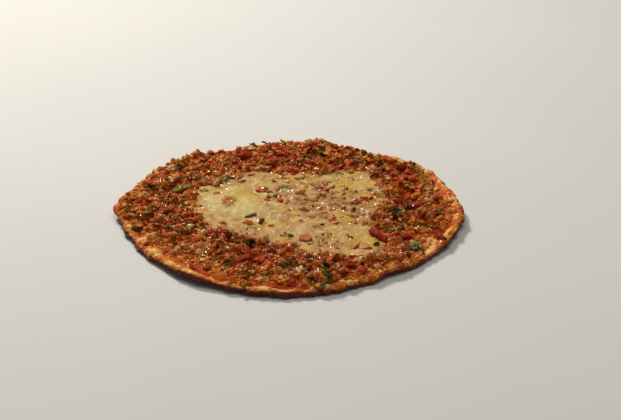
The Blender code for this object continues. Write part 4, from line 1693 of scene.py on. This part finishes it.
burnt_skin = skinned_finish("burnt_strip", paint(44, 26, 18), paint(20, 13, 11),
                            paint(62, 36, 24), 0.5)

WRINKLE = 0.9 * MM
WRINKLE_SIZE = 2.6 * MM
for node, slot, material, sink in (
        ("pepper_red_front", "red_pepper", red_skin, 0.7),
        ("pepper_red_front_light", "red_pepper", light_red_skin, 0.7),
        ("pepper_red_front_right", "red_pepper", red_skin, 0.7),
        ("pepper_red_right", "red_pepper", red_skin, 1.9),
        ("pepper_red_right_small", "red_pepper", red_skin, 1.1),
        ("pepper_red_strip_right", "red_pepper", red_skin, 1.1),
        ("pepper_red_strip_back", "red_pepper", dark_red_skin, 1.1),
        ("pepper_red_on_cheese", "red_pepper", orange_skin, 0.9),
        ("pepper_green_left", "green_pepper", green_skin, 1.0),
        ("pepper_pale_right", "green_pepper", pale_skin, 1.0),
        ("tomato_right", "tomato", tomato_skin, 1.0),
        ("tomato_on_cheese", "tomato", orange_skin, 1.1),
        ("onion_front_left", "onion", onion_skin, 1.0),
        ("charred_strip_back", "char", burnt_skin, 0.0)):
    softened(node, 3, WRINKLE, WRINKLE_SIZE, slot, material, sink * MM)

# %% [markdown]
# ## The sprig of parsley
# One sprig was put on late and stayed bright green. It is a small rosette of toothed leaves:
# each leaf is a disc pulled into lobes, ruffled at its edge and given a thickness, and the leaves
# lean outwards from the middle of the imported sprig.

# %% A rosette of leaves
LEAF_LOBES = 5
ROSETTE_LEAVES = 36


def ruffled_leaf(seed):
    """A toothed leaf about 1 unit across, ruffled at its edge."""
    maker = bmesh.new()
    bmesh.ops.create_circle(maker, cap_ends=True, segments=30, radius=0.5)
    bmesh.ops.inset_region(maker, faces=maker.faces[:], thickness=0.2)
    middle = [face for face in maker.faces if len(face.verts) > 4]
    bmesh.ops.poke(maker, faces=middle)
    for vertex in maker.verts:
        radius, angle = polar(vertex.co.x, vertex.co.y)
        lobes = abs(math.sin(0.5 * LEAF_LOBES * angle + seed))
        scale = 1.0 - 0.5 * (1.0 - lobes) * radius / 0.5
        ruffle = 0.34 * math.sin(3 * angle + 2 * seed) + 0.2 * math.sin(7 * angle + seed)
        vertex.co = (vertex.co.x * scale, vertex.co.y * scale,
                     radius * ruffle - 0.7 * radius * radius)
    bmesh.ops.recalc_face_normals(maker, faces=maker.faces)
    bmesh.ops.solidify(maker, geom=maker.faces[:], thickness=0.05)
    return shaped(maker)


def rosette():
    low, high = topping_boxes["parsley_sprig"]
    middle = (low + high) / 2
    middle.z = low.z + 0.2 * MM
    dice = random.Random(7)
    leaves = [ruffled_leaf(seed) for seed in range(4)]
    copies = []
    for number in range(ROSETTE_LEAVES):
        turn = number * 2.4
        out = 4.4 * MM * math.sqrt(number / ROSETTE_LEAVES)
        lean = math.radians(dice.uniform(10, 75))
        size = dice.uniform(2.0, 3.2) * MM
        spot = middle + Vector((out * math.cos(turn), out * math.sin(turn),
                                2.6 * MM * (1 - number / ROSETTE_LEAVES)))
        place = (Matrix.Translation(spot) @ Matrix.Rotation(turn, 4, "Z")
                 @ Matrix.Rotation(lean, 4, "Y") @ Matrix.Diagonal((size, size, size, 1)))
        copies.append((dice.choice(leaves), place, dice.random()))
    fresh_stops = ((0.0, paint(46, 66, 18)), (0.45, paint(98, 132, 50)),
                   (1.0, paint(214, 226, 160)))
    piece = heap("parsley_sprig_leaves", copies,
                 bit_finish("fresh_parsley", fresh_stops, 0.4, 0.4, 900.0), "parsley")
    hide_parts("parsley_sprig")
    return piece


sprig = rosette()
